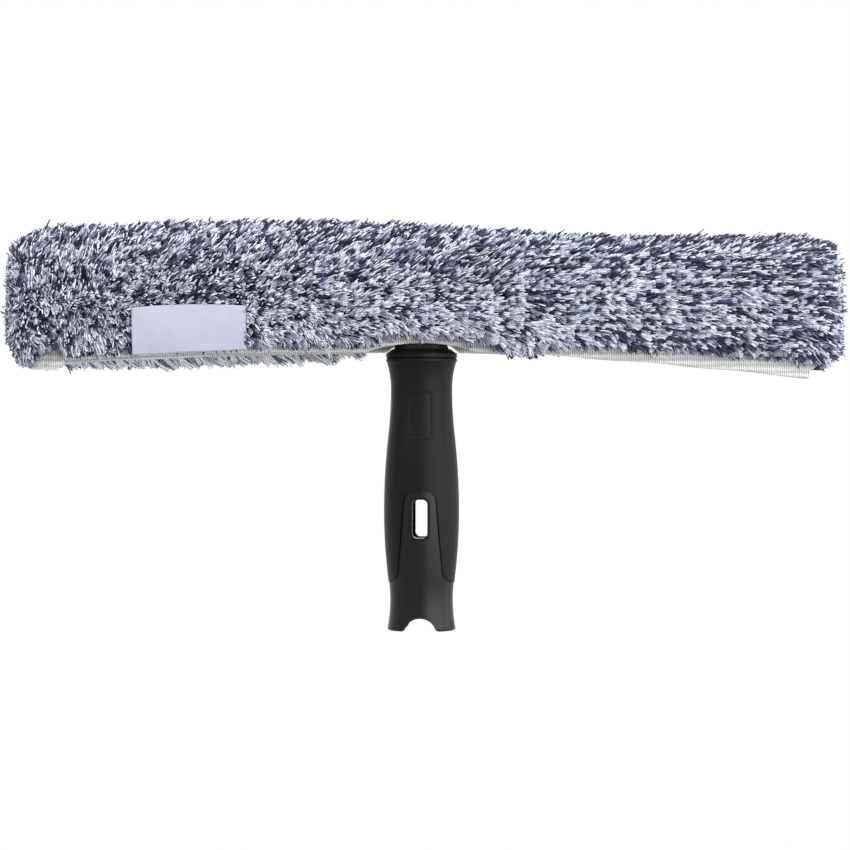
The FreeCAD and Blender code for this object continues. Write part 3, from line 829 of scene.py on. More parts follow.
@dataclass(frozen=True)
class SleeveForm:
    """Outer form of the pile and the course of the hems. Pairs are for the left and the right end."""

    # Half of the cloth's length, and its inside and outside from the middle plane.
    half_length: float = 218.0 * MM
    inner: float = 13.1 * MM
    outer: float = 15.3 * MM
    # Heights of the cloth's underside and upper side over the crossbar.
    ceiling: float = 203.8 * MM
    crown: float = 206.0 * MM
    # Heights where the pile reaches out furthest and where its section ends below.
    flank: float = 174.0 * MM
    lowest: float = 132.2 * MM
    # Height of the pile over the crown, depth on the flanks, and where each end has its full size.
    top: Pair = (16.4 * MM, 8.8 * MM)
    side: Pair = (14.6 * MM, 11.4 * MM)
    plateau: Pair = (-60.0 * MM, 100.0 * MM)
    # Length over which an end rounds off, fall of the crest there, and depth of the end panels.
    end_round: float = 20.0 * MM
    end_drop: Pair = (5.5 * MM, 3.5 * MM)
    end_thickness: Pair = (9.5 * MM, 11.5 * MM)
    # Places of the section's shoulder and foot, the crown's share of its half, and its half's length.
    shoulder_share: float = 0.72
    foot_share: float = 0.62
    crown_turn: float = 0.25
    half_girth: float = 107.0 * MM
    # Height of the hems at the notch, and half of its width in front and behind.
    hem_height: float = 151.6 * MM
    notch: float = 30.0 * MM
    rear_notch: float = 20.0 * MM
    # Steepness of the notch in front and behind, and its height.
    notch_power: tuple[int, int] = (2, 4)
    notch_rise: float = 5.4 * MM
    # Rise of each hem in mid-run, fall of the front and the rear hem to the ends, height of the tapes.
    bow: float = 1.8 * MM
    front_drop: Pair = (5.6 * MM, 15.6 * MM)
    rear_drop: Pair = (7.2 * MM, 10.0 * MM)
    tape: float = 9.0 * MM

    @property
    def middle(self) -> float:
        """Middle of the cloth's thickness, from the middle plane."""
        return (self.inner + self.outer) / 2.0

    def between(self, x: Array, pair: Pair) -> Array:
        """Blends a pair of sizes along the crossbar.

        Args:
            x: places along the crossbar.
            pair: sizes at the left and the right.

        Returns:
            The size at each place.
        """
        share = np.clip((x - self.plateau[0]) / (self.plateau[1] - self.plateau[0]), 0.0, 1.0)
        share = share * share * (3.0 - 2.0 * share)
        return pair[0] + (pair[1] - pair[0]) * share

    def end_fall(self, x: Array) -> Array:
        """How far the crest has fallen towards the nearer end."""
        share = np.clip((np.abs(x) - self.half_length + self.end_round) / self.end_round, 0.0, 1.0)
        return np.where(x < 0.0, *self.end_drop) * share**2

    def section(self, x: Array, turn: Array, inset: Array | float = 0.0) -> tuple:
        """Finds places on the sleeve's outer form.

        Args:
            x: places along the crossbar.
            turn: places round the section: -1 at the front foot, 0 at the crest, 1 at the rear foot.
            inset: distance inside the outer form.

        Returns:
            The points and their outward normals.
        """
        x, turn, inset = np.broadcast_arrays(x, turn, inset)
        fall = self.end_fall(x)
        crest = self.crown + self.between(x, self.top) - fall - inset
        reach = self.outer + self.between(x, self.side) - fall / 2.0 - inset
        sy, sz = reach * self.shoulder_share, self.flank + (crest - self.flank) * self.shoulder_share
        fy, fz = reach * self.foot_share, self.lowest + inset
        py, pz = reach, np.full_like(reach, self.flank)
        scale = 2.0 * (fy * (pz - sz) + py * (sz - fz) + sy * (fz - pz))
        foot, flank, shoulder = fy**2 + fz**2, py**2 + pz**2, sy**2 + sz**2
        cy = (foot * (pz - sz) + flank * (sz - fz) + shoulder * (fz - pz)) / scale
        cz = (foot * (sy - py) + flank * (fy - sy) + shoulder * (py - fy)) / scale
        side_radius = np.hypot(sy - cy, sz - cz)
        first, last = np.arctan2(sz - cz, sy - cy), np.arctan2(fz - cz, fy - cy)
        away, sign = np.abs(turn), np.where(turn < 0.0, -1.0, 1.0)
        side_angle = first + (last - first) * (away - self.crown_turn) / (1.0 - self.crown_turn)
        rise = crest - sz
        crown_radius = (sy**2 + rise**2) / (2.0 * rise)
        crown_angle = math.pi / 2.0 - np.arcsin(sy / crown_radius) * away / self.crown_turn
        on_crown = away < self.crown_turn
        angle = np.where(on_crown, crown_angle, side_angle)
        radius = np.where(on_crown, crown_radius, side_radius)
        centre_y = np.where(on_crown, 0.0, cy)
        centre_z = np.where(on_crown, crest - crown_radius, cz)
        y, z = centre_y + radius * np.cos(angle), centre_z + radius * np.sin(angle)
        normals = np.stack([np.zeros_like(x), sign * np.cos(angle), np.sin(angle)], axis=-1)
        return np.stack([x, sign * y, z], axis=-1), normals

    def front_turn(self, x: Array, height: Array) -> Array:
        """Finds where the front of the section passes a height.

        Args:
            x: places along the crossbar.
            height: height at each place.

        Returns:
            The turn at each place.
        """
        turns = np.linspace(-1.0, -self.crown_turn, FRONT_STEPS)
        points, _ = self.section(x[..., None], turns)
        return np.array([np.interp(level, row, turns) for level, row in zip(height, points[..., 2])])

    def hem(self, x: Array, side: Side) -> Array:
        """Finds the height of a hem's lower edge.

        Args:
            x: places along the crossbar.
            side: front or rear hem.

        Returns:
            The height at each place.
        """
        drops = side.of((self.front_drop, self.rear_drop))
        run = np.clip((np.abs(x) - self.notch) / (self.half_length - self.notch), 0.0, 1.0)
        slope = self.hem_height - np.where(x < 0.0, *drops) * run + 4.0 * self.bow * run * (1.0 - run)
        notch, power = side.of((self.notch, self.rear_notch)), side.of(self.notch_power)
        arch = self.hem_height + self.notch_rise * (1.0 - (x / notch) ** power)
        return np.where(np.abs(x) < notch, arch, slope)

    def rim(self, x: Array) -> tuple:
        """Follows the rounded rims of the end panels.

        Args:
            x: places along the crossbar, also past the ends of the cloth.

        Returns:
            The inset of the section, and the slope of the rim towards the end.
        """
        thick = np.where(x < 0.0, *self.end_thickness)
        share = np.clip((np.abs(x) - self.half_length) / thick, 0.0, 1.0)
        return thick * share**2, 2.0 * share * np.sign(x)

    def dome(self, hand: Hand, share: Array) -> tuple:
        """Place along the crossbar and inset of the section at a share of an end panel's thickness."""
        thick = hand.of(self.end_thickness)
        return hand.value * (self.half_length + thick * share), thick * share**2


@dataclass(frozen=True)
class LabelArea:
    """Place of the bare label on the front of the pile."""

    # Left and right edge, and heights of the middle of the lower edge and of the upper corners.
    left: float = -155.0 * MM
    right: float = -93.0 * MM
    foot: float = 151.5 * MM
    top: float = 175.8 * MM
    # Distance of its middle from the pile's outer form, and thickness of the cloth.
    lift: float = 0.65 * MM
    thickness: float = 0.4 * MM
    # Rise of the lower and the upper edge to the right, and of the upper edge in its middle.
    slant: float = 3.0 * MM
    top_slant: float = 0.9 * MM
    arch: float = 1.3 * MM

    def edges(self, x: Array) -> tuple[Array, Array]:
        """Finds the heights of the lower and the upper edge.

        Args:
            x: places along the crossbar.

        Returns:
            Both heights at each place.
        """
        across = np.clip((x - self.left) / (self.right - self.left), 0.0, 1.0)
        upper = self.top + self.top_slant * (across - 0.5) + 4.0 * self.arch * across * (1.0 - across)
        return self.foot + self.slant * (across - 0.5), upper

    def flat_size(self) -> Pair:
        """Width and mean height of the label before it was laid."""
        return self.right - self.left, self.top - self.foot + self.arch * 2.0 / 3.0

    def holds(self, points: Array, margin: float) -> Array:
        """Tells which points of the front lie under the label.

        Args:
            points: points to test.
            margin: distance that the area is grown by.

        Returns:
            True for each point in the area.
        """
        x, y, z = points[..., 0], points[..., 1], points[..., 2]
        beside = (x < self.left - margin) | (x > self.right + margin)
        lower, upper = self.edges(x)
        apart = (z < lower - margin) | (z > upper + margin)
        return (y < 0.0) & ~beside & ~apart


@dataclass
class Tufts:
    """Tufts of one area of the pile, one row each.

    Attributes:
        tip: middle of the tuft's cut end.
        normal: outward direction of the cloth below it.
        direction: direction that its strands point in.
        length: length of its strands.
        yarn: number of its yarn.
    """

    tip: Array
    normal: Array
    direction: Array
    length: Array
    yarn: Array

    def chosen(self, keep: Array) -> "Tufts":
        """Keeps only some of the tufts."""
        return Tufts(*[values[keep] for values in vars(self).values()])

    @classmethod
    def joined(cls, areas: list["Tufts"]) -> "Tufts":
        """Puts the tufts of several areas together."""
        rows = zip(*(vars(area).values() for area in areas))
        return cls(*[np.concatenate(values) for values in rows])


@dataclass(frozen=True)
class Yarn:
    """One colour of the pile's yarn.

    Attributes:
        tone: place of its colour on the ramp.
        width: half width of a tuft.
        radius: radius of a strand.
        stand: how far its tufts stand above the outer form.
    """

    tone: float
    width: float
    radius: float
    stand: float


@dataclass(frozen=True)
class Nap:
    """How the pile lies: upright at the left end, combed to the right, parted along the flank.

    Angles are in degrees. Along the sleeve, courses run from 0 at the left end to 1 at the right end.
    Away from the crest, they run from 0 there to 1 at a foot of the section.
    """

    # Leans along the sleeve, and how far those of the flank and foot hold away from the crest.
    crown: Course = Course((0.0, 0.1, 0.3, 0.55, 0.8, 1.0), (36.0, 42.0, 44.0, 47.0, 52.0, 54.0))
    flank: Course = Course((0.0, 0.3, 0.42, 0.6, 0.8, 1.0), (30.0, 34.0, 40.0, 46.0, 51.0, 53.0))
    foot: Course = Course((0.0, 0.3, 0.6, 1.0), (40.0, 44.0, 48.0, 51.0))
    to_flank: Course = Course((0.2, 0.42), (0.0, 1.0))
    to_foot: Course = Course((0.62, 0.8), (0.0, 1.0))
    # Heading from +X towards the crest, away from the crest, and its share along the sleeve.
    heading: Course = Course((0.0, 0.25, 0.42, 0.58, 0.8, 1.0), (0.0, 15.0, 10.0, -8.0, -40.0, -50.0))
    heading_share: Course = Course((0.0, 0.45, 1.0), (1.0, 1.0, 0.5))
    # How far headings are turned down along the sleeve, and its share away from the crest.
    level: Course = Course((0.5, 0.85), (0.0, 16.0))
    level_share: Course = Course((0.08, 0.2, 0.45, 0.6), (0.0, 1.0, 1.0, 0.0))
    # Heading at the loose left end, away from the crest, and its share along the sleeve.
    loose: Course = Course((0.0, 0.45, 0.6, 1.0), (40.0, 80.0, -80.0, -85.0))
    loose_share: Course = Course((0.02, 0.16), (1.0, 0.0))
    # Spread of the headings along the sleeve, and swings of headings and leans in patches.
    stir: Course = Course((0.1, 0.5), (24.0, 9.0))
    swirl: float = 16.0
    lift: float = 7.0
    # Spread of the leans, and the least and the greatest lean.
    spread: float = 5.0
    limits: Pair = (4.0, 70.0)


@dataclass(frozen=True)
class Patch:
    """Part of the pile that is bluer or paler than the rest.

    Attributes:
        amount: what is added to the share of blue tufts.
        along: strength along the crossbar.
        away: strength from the crest, at 0, to a foot of the section, at 1.
        both: True if it is behind as well as in front.
    """

    amount: float
    along: Course = EVERYWHERE
    away: Course = EVERYWHERE
    both: bool = True

    def at(self, x: Array, turn: Array) -> Array:
        """Reads what the patch adds at places along the crossbar and round the section."""
        added = self.amount * self.along.at(x) * self.away.at(np.abs(turn))
        return added if self.both else np.where(turn < 0.0, added, 0.0)


@dataclass(frozen=True)
class Crease:
    """Pale parting that runs down to the left beside the label.

    Attributes:
        amount: what is added to the share of blue tufts.
        along: strength along the crossbar.
        course: its place from the crest, at 0, to the front foot, at 1.
        width: its width in the same share.
    """

    amount: float = -0.7
    along: Course = along_bar((-186.0, -180.0, -158.0, -154.0), (0.0, 1.0, 1.0, 0.0))
    course: Course = along_bar((-180.0, -159.0), (0.735, 0.605))
    width: float = 0.028

    def at(self, x: Array, turn: Array) -> Array:
        """Reads what the crease adds at places along the crossbar and round the section."""
        near = np.exp(-(((np.abs(turn) - self.course.at(x)) / self.width) ** 2))
        return np.where(turn < 0.0, self.amount * self.along.at(x) * near, 0.0)


@dataclass(frozen=True)
class Fringe:
    """The lowest tufts, which hang over the hem tapes. Pairs of courses are for the front and the rear."""

    # Rows from the cloth to the outer form, start past its left end, stop short of its right end, jitter.
    rows: tuple[float, ...] = (0.1, 0.4, 0.7)
    past: float = 1.0 * MM
    short: float = 3.0 * MM
    jitter: float = 1.1 * MM
    # Distance of the rows from the outer form and the cloth, and how the label presses them in.
    inset: float = 1.2 * MM
    gap: float = 1.9 * MM
    beside: float = 2.0 * MM
    press: float = 3.4 * MM
    # Spread and rise of the tips, and the height of the tufts from row to row.
    ragged: float = 0.9 * MM
    rise: float = 0.5 * MM
    drop: float = 6.5 * MM
    drop_step: float = 1.5 * MM
    drop_range: Pair = (0.8, 1.2)
    # How far the tufts are swept to the right, the greatest share of it, and how far they stand out.
    swept: tuple[Course, Course] = (
        along_bar((-180.0, -60.0, 120.0, 200.0), (0.3, 0.6, 0.9, 0.4)),
        along_bar((-180.0, -60.0, 120.0, 200.0), (0.8, 1.1, 0.9, 0.4)),
    )
    sway: float = 1.7
    out: float = 0.1
    # How far their shading is turned across the crossbar, and what it is turned away from.
    turned: float = 0.3
    shaded: Point = (0.0, 0.6, 0.4)
    # What is added to the share of blue tufts, and distance of the rows across the patches of colour.
    lays: tuple[Course, Course] = (
        along_bar((-212.0, -200.0), (-0.4, 0.0)),
        along_bar((-212.0, -200.0), (-0.4, -0.16)),
    )
    spacing: float = 10.0 * MM
    # Where the painted root shade starts along a strand, front and rear; the rear also gets painted light.
    bright: Pair = (0.0, 0.8)


@dataclass(frozen=True)
class EndPile:
    """Tufts on the domed faces of the end panels, and the bed under them."""

    # Height that the tufts fan out from, their area, and shares that set their distance and jitter.
    middle: float = 176.0 * MM
    across: Pair = (-32.0 * MM, 32.0 * MM)
    heights: Pair = (140.0 * MM, 222.0 * MM)
    pitch: float = 0.85
    jitter: float = 0.4
    # Depth of the tips under the dome, and how far the tufts fan out, left and right.
    inset: float = 1.4 * MM
    fan: Pair = (0.6, 0.35)
    # Share of the panel's own direction at its rim, spread of directions, and length of strands.
    tilt: float = 0.2
    spread: float = 0.2
    length: float = 8.0 * MM
    # Share of the panel's thickness that its rim takes.
    rim: float = 0.45
    # Depth of the bed, where its lower edge starts to rise to the ends, and its height there.
    bed: float = 6.5 * MM
    bed_from: float = 207.0 * MM
    bed_level: float = 154.0 * MM
    # Share of the thickness and size of each ring of the bed.
    bed_rings: tuple[Pair, ...] = (
        (0.4, 1.0), (0.75, 1.0), (1.0, 1.0), (1.0, 0.6), (1.0, 0.25), (1.0, 0.03)
    )


COMBED = (-90.0, 60.0)


@dataclass(frozen=True)
class Brush:
    """A tuft's strands, side by side like a flat brush with a blunt end. Courses run along the crossbar."""

    count: int = 6
    rod: RodShape = RodShape()
    # Spread of its turn, shares of the yarn's width and radius, and its depth as a share of its width.
    turn: float = 0.25
    width: Course = along_bar(COMBED, (1.2, 1.0))
    radius: Course = along_bar(COMBED, (1.3, 1.0))
    depth: Course = along_bar(COMBED, (0.8, 0.5))
    # Spread of the strands across it, and the distance and spread of its two layers.
    beside: float = 0.12
    layer: Pair = (0.5, 0.25)
    # Share of stray strands in blue and in other yarn, their reach, and spread of all ends, in millimetres.
    hairy: Pair = (0.1, 0.03)
    stray: Pair = (0.6, 2.6)
    ragged: float = 0.35
    # How far outer strands spread, spread of directions, share of the length, and bow outward.
    splay: float = 0.12
    bent: float = 0.05
    length: Pair = (0.92, 1.08)
    bow: float = 0.12
    # Share of other-coloured strands, what their tone is taken from, spread, painted edge shade, least tone.
    odd: Course = along_bar(COMBED, (0.18, 0.07))
    odd_sum: float = 1.04
    tone_spread: Course = along_bar(COMBED, (0.14, 0.1))
    edge: float = 0.15
    darkest: float = 0.02
    # Share of the radius, and painted light added to the tone where roots are read at their tips.
    thickness: Pair = (0.85, 1.15)
    painted_light_tone: float = 0.3
    # Share of the tuft's direction in its shading, and shares of the strand's and the tuft's normals.
    lit: float = 0.25
    shading: Pair = (0.75, 0.5)


CUT_STATIONS = (
    -219.0, -206.0, -180.0, -150.0, -60.0, -36.0, -24.0, 0.0,
    24.0, 36.0, 44.0, 57.0, 66.0, 120.0, 205.0, 213.0,
)


@dataclass
class Pile:
    """The pile of the sleeve: a dense bed and thousands of leaning tufts of cut strands."""

    form: SleeveForm
    label: LabelArea
    palette: Palette
    # How the tufts lie, those over the hem tapes and on the end panels, and the strands of a tuft.
    combing: Nap = Nap()
    fringe: Fringe = Fringe()
    ends: EndPile = EndPile()
    brush: Brush = Brush()
    # Parts that are bluer or paler than the rest.
    tints: tuple[Patch | Crease, ...] = (
        Patch(0.1, away=Course((0.3, 0.45), (1.0, 0.0))),
        Patch(0.2, along_bar((70.0, 120.0), (0.0, 1.0)), Course((0.66, 0.78), (0.0, 1.0))),
        Patch(0.15, along_bar((200.0, 212.0), (0.0, 1.0))),
        Patch(
            -0.44,
            along_bar((-110.0, -60.0, 60.0, 120.0), (0.0, 1.0, 1.0, 0.0)),
            Course((0.5, 0.62), (0.0, 1.0)),
        ),
        Patch(-0.3, along_bar((-214.0, -200.0), (1.0, 0.0)), Course((0.7, 0.82), (0.0, 1.0))),
        Patch(
            0.35,
            along_bar((-154.0, -148.0, -100.0, -96.0), (0.0, 1.0, 1.0, 0.0)),
            Course((0.45, 0.475, 0.53, 0.55), (0.0, 1.0, 1.0, 0.0)),
            both=False,
        ),
        Crease(),
    )
    # Distance of the tufts, and shift of every second column and spread of places as shares of it.
    pitch: float = 2.7 * MM
    stagger: float = 0.25
    loose: Course = along_bar((-60.0, 60.0), (0.37, 0.27))
    # Spread of the tips, their depth in millimetres, depth of roots in the bed, longest strand.
    scatter: float = 0.6 * MM
    level: Course = along_bar((-205.0, -165.0, -145.0, 50.0, 100.0, 140.0), (1.2, 0.8, -0.8, -1.2, -0.4, 0.2))
    root: float = 1.2 * MM
    longest: float = 10.0 * MM
    # Last turn of the columns, share of an end panel that they cover, and of its rim at the right.
    last_turn: float = 0.99
    rim_share: float = 0.62
    right_rim: float = 0.45
    # Blue, white and mid yarn, share of blue and of mid tufts, and swings of blue in rows and patches.
    yarns: tuple[Yarn, ...] = (
        Yarn(0.13, 1.0 * MM, 0.36 * MM, 0.5 * MM),
        Yarn(0.80, 1.36 * MM, 0.46 * MM, -0.4 * MM),
        Yarn(0.50, 1.2 * MM, 0.40 * MM, 0.0),
    )
    shares: Pair = (0.43, 0.14)
    row_swing: Course = along_bar((-60.0, 60.0), (0.26, 0.36))
    patch_swing: float = 0.14
    # Height of the lowest tips over the front and the rear hem, along the crossbar.
    cuts: tuple[Course, Course] = (
        along_bar(
            CUT_STATIONS,
            (-2.0, 0.0, 1.2, 2.8, 2.4, 3.2, 4.0, 1.6, 4.0, 3.6, -2.2, -2.2, 3.8, 6.0, 8.5, 5.5),
            MM,
        ),
        along_bar(
            CUT_STATIONS,
            (0.0, -1.0, -2.5, -4.5, -4.0, -0.5, 2.5, 2.5, 3.0, 3.0, 2.2, 1.0, 0.7, 3.0, 5.0, 3.0),
            MM,
        ),
    )
    # Least such height for the columns, their distance from it, and distance of the tips from the label.
    deepest: float = -2.0 * MM
    clear: float = 1.5 * MM
    label_gap: float = 0.2 * MM
    # Reach of the left and the right lower corner past the cloth, by height, in millimetres.
    corners: tuple[Course, Course] = (
        Course((142.0, 144.5, 147.5, 155.0, 161.0), (-6.0, 0.0, 2.0, 5.0, 12.0)),
        Course((140.5, 142.5, 146.0, 152.0), (-6.0, 0.0, 4.0, 12.0)),
    )
    # Upper edge and ends of the area that the corner tab covers.
    tab_top: Course = along_bar((-212.0, -207.0, -194.0, -191.0), (143.0, 149.0, 153.0, 148.0), MM)
    tab_span: Pair = (-213.0 * MM, -190.0 * MM)
    # Where the left, middle and right pieces meet, from the middle.
    parting: float = 75.0 * MM
    # Depth of the bed at the left and the right, and its points along and round the sleeve.
    bed: Pair = (3.8 * MM, 3.4 * MM)
    bed_columns: int = 120
    bed_rows: int = 56
    # Middle and swing of its tone, how much finer its patches are, and its place in the painted root shade.
    bed_tone: Pair = (0.4, 0.2)
    bed_patches: float = 4.0
    bed_painted_shade: float = 0.17
    # Length of the swings of headings, leans and colours.
    swings: Point = (34.0 * MM, 26.0 * MM, 22.0 * MM)

    def __post_init__(self) -> None:
        """Draws the smooth fields that the nap and the colours follow."""
        self.rng = np.random.default_rng(SEED)
        self.swirl, self.lift, self.patches = [SmoothNoise(self.rng, length) for length in self.swings]

    def depth(self, x: Array) -> Array:
        """Depth of the bed below the outer form."""
        return self.form.between(x, self.bed)

    def nap(self, x: Array, turn: Array) -> tuple:
        """Finds how the pile lies.

        Args:
            x: places along the crossbar.
            turn: places round the section.

        Returns:
            The lean away from upright, and the heading from +X towards the crest, in radians.
        """
        nap = self.combing
        right = (x / self.form.half_length + 1.0) / 2.0
        away, girth = np.abs(turn), turn * self.form.half_girth
        crown = nap.crown.at(right)
        lean = crown + (nap.flank.at(right) - crown) * nap.to_flank.at(away)
        lean = lean + (nap.foot.at(right) - lean) * nap.to_foot.at(away)
        heading = nap.heading.at(away) * nap.heading_share.at(right)
        heading = heading - nap.level.at(right) * nap.level_share.at(away)
        heading = heading + (nap.loose.at(away) - heading) * nap.loose_share.at(right)
        stir = self.rng.normal(0.0, 1.0, x.shape) * nap.stir.at(right)
        heading = heading + nap.swirl * self.swirl.at(x, girth) + stir
        lean = lean + nap.lift * self.lift.at(x, girth) + self.rng.normal(0.0, nap.spread, x.shape)
        return np.radians(np.clip(lean, *nap.limits)), np.radians(heading)

    def colors(self, x: Array, girth: Array, step: Array, lay: Array | float = 0.0) -> Array:
        """Picks the yarn of each tuft, in loose rows and patches.

        Args:
            x: places along the crossbar.
            girth: places round the section, in metres.
            step: number of each tuft in its row plus the number of the row.
            lay: what is added to the share of blue tufts.

        Returns:
            The number of the yarn for each tuft.
        """
        blue, mid = self.shares
        rows = self.row_swing.at(x) * np.where(step % 2 == 0, 1.0, -1.0)
        blue = blue + lay + rows + self.patch_swing * self.patches.at(x, girth)
        drawn = self.rng.uniform(0.0, 1.0, x.shape) < blue
        between = self.rng.uniform(0.0, 1.0, x.shape) < mid
        return np.where(between, 2, np.where(drawn, 0, 1))

    def cut(self, x: Array, side: Side) -> Array:
        """Height of the lowest tips over a hem's lower edge, at places along the crossbar."""
        return side.of(self.cuts).at(x)

    def reach(self, z: Array, left: Array | bool) -> Array:
        """Reach of the pile's rounded lower corners past the cloth, at heights at its left or right end."""
        return np.where(left, *[corner.at(z / MM) for corner in self.corners]) * MM

    def under_tab(self, points: Array) -> Array:
        """Tells which points of the front lie where the folded corner tab shows."""
        x, y, z = points[..., 0], points[..., 1], points[..., 2]
        return (y < 0.0) & (x > self.tab_span[0]) & (x < self.tab_span[1]) & (z < self.tab_top.at(x))

    def main_tufts(self) -> Tufts:
        """Covers the sleeve from hem to hem and round the rims of its ends.

        Returns:
            The tufts.
        """
        form, rng = self.form, self.rng
        ends = [form.half_length + self.rim_share * thick for thick in form.end_thickness]
        columns = np.arange(-ends[0], ends[1], self.pitch)
        pitch = self.pitch / form.half_girth
        rows = np.arange(-self.last_turn, self.last_turn, pitch)
        x, turn = np.meshgrid(columns, rows, indexing="ij")
        step = np.add.outer(np.arange(len(columns)), np.arange(len(rows))).ravel()
        shift = np.where(np.arange(len(columns)) % 2 == 0, self.stagger, -self.stagger)[:, None] * pitch
        loose = self.loose.at(x)
        turn = np.clip((turn + shift + rng.uniform(-loose, loose) * pitch).ravel(), -1.0, 1.0)
        x = (x + rng.uniform(-loose, loose) * self.pitch).ravel()
        inset, slope = form.rim(x)
        inset = inset * np.where(x > 0.0, self.right_rim, 1.0) + self.level.at(x) * MM
        place, normal = form.section(x, turn, inset)
        lean, heading = self.nap(x, turn)
        sign = np.where(normal[:, 1] < 0.0, -1.0, 1.0)
        up = np.stack([np.zeros_like(x), -sign * normal[:, 2], sign * normal[:, 1]], axis=-1)
        normal = unit(normal + slope[:, None] * (1.0, 0.0, 0.0))
        flat = np.cos(heading)[:, None] * (1.0, 0.0, 0.0) + np.sin(heading)[:, None] * up
        direction = unit(np.cos(lean)[:, None] * normal + np.sin(lean)[:, None] * flat)
        lay = sum(tint.at(x, turn) for tint in self.tints)
        yarn = self.colors(x, turn * form.half_girth, step, lay)
        stand = np.array([kind.stand for kind in self.yarns])[yarn]
        tip = place + normal * (stand + rng.normal(0.0, self.scatter, x.shape))[:, None]
        length = np.minimum((self.depth(x) + self.root) / np.cos(lean), self.longest)
        tufts = Tufts(tip, normal, direction, length, yarn)
        edges = [form.hem(x, side) + np.maximum(self.cut(x, side), self.deepest) for side in Side]
        low = np.where(tip[:, 1] < 0.0, *edges) + self.clear
        inside = np.abs(x) - form.half_length < self.reach(tip[:, 2], x < 0.0)
        covered = self.label.holds(tip, self.label_gap) | self.under_tab(tip)
        return tufts.chosen((tip[:, 2] > low) & inside & ~covered)

    def fringe_tufts(self, side: Side) -> Tufts:
        """Hangs the lowest tufts over one hem tape.

        Args:
            side: front or rear hem.

        Returns:
            The tufts.
        """
        form, rng, fringe = self.form, self.rng, self.fringe
        made = []
        for row, share in enumerate(fringe.rows):
            x = np.arange(-form.half_length - fringe.past, form.half_length - fringe.short, self.pitch)
            x = x + rng.uniform(-fringe.jitter, fringe.jitter, x.shape)
            hem = form.hem(x, side)
            edge, normal = form.section(x, form.front_turn(x, hem + form.tape))
            reach = np.abs(edge[:, 1]) - fringe.inset
            pressed = (x > self.label.left - fringe.beside) & (x < self.label.right + fringe.beside)
            reach = reach - np.where(pressed & (side is Side.FRONT), fringe.press, 0.0)
            near = form.outer + fringe.gap
            y = near + (reach - near) * share
            foot = hem + self.cut(x, side) + rng.normal(0.0, fringe.ragged, x.shape) + row * fringe.rise
            drop = (fringe.drop + fringe.drop_step * row) * rng.uniform(*fringe.drop_range, x.shape)
            root = np.stack([x, side.value * y, foot + drop], axis=-1)
            sway = drop * side.of(fringe.swept).at(x) * rng.uniform(0.0, fringe.sway, x.shape)
            away = np.stack([sway, side.value * drop * fringe.out, -drop], axis=-1)
            normal = unit(normal * (1.0, -fringe.turned * side.value, 0.0) - fringe.shaded)
            girth = np.full_like(x, share * fringe.spacing)
            color = self.colors(x, girth, np.arange(len(x)) + row, side.of(fringe.lays).at(x))
            made.append(Tufts(root + away, normal, unit(away), np.linalg.norm(away, axis=-1), color))
        tufts = Tufts.joined(made)
        hidden = side.of((self.under_tab(tufts.tip), np.abs(tufts.tip[:, 0]) < form.notch))
        return tufts.chosen(~hidden)

    def end_tufts(self, hand: Hand) -> Tufts:
        """Covers the domed face of one end panel, inside its rim.

        Args:
            hand: left or right end.

        Returns:
            The tufts.
        """
        form, rng, ends = self.form, self.rng, self.ends
        thick = hand.of(form.end_thickness)
        out = np.array([float(hand.value), 0.0, 0.0])
        turns = np.linspace(-1.0, 1.0, SECTION_STEPS)
        rim, _ = form.section(np.full(turns.shape, hand.value * form.half_length), turns)
        step = self.pitch * ends.pitch
        y, z = np.meshgrid(np.arange(*ends.across, step), np.arange(*ends.heights, step))
        y, z = (
            values.ravel() + rng.uniform(-ends.jitter, ends.jitter, values.size) * step for values in (y, z)
        )
        away, angle = np.hypot(y, z - ends.middle), np.arctan2(y, z - ends.middle)
        rim_y, rim_z = rim[:, 1], rim[:, 2] - ends.middle
        reach = np.interp(angle, np.arctan2(rim_y, rim_z), np.hypot(rim_y, rim_z))
        share = np.sqrt(np.clip((reach - away) / thick, 0.0, 1.0))
        room = self.reach(z, hand is Hand.LEFT)
        x = form.half_length + np.minimum(thick * share - ends.inset, room)
        fan = np.stack([np.zeros_like(y), y, z - ends.middle], axis=-1) / np.maximum(away, MM)[:, None]
        normal = unit(fan * (1.0 - share)[:, None] + out * (ends.tilt + share)[:, None])
        direction = unit(normal + fan * hand.of(ends.fan) + rng.normal(0.0, ends.spread, normal.shape))
        length = np.full(y.shape, ends.length)
        color = self.colors(y, z, np.arange(len(y)))
        tufts = Tufts(np.stack([hand.value * x, y, z], axis=-1), normal, direction, length, color)
        return tufts.chosen((share > ends.rim) & (away < reach) & (room > 0.0))

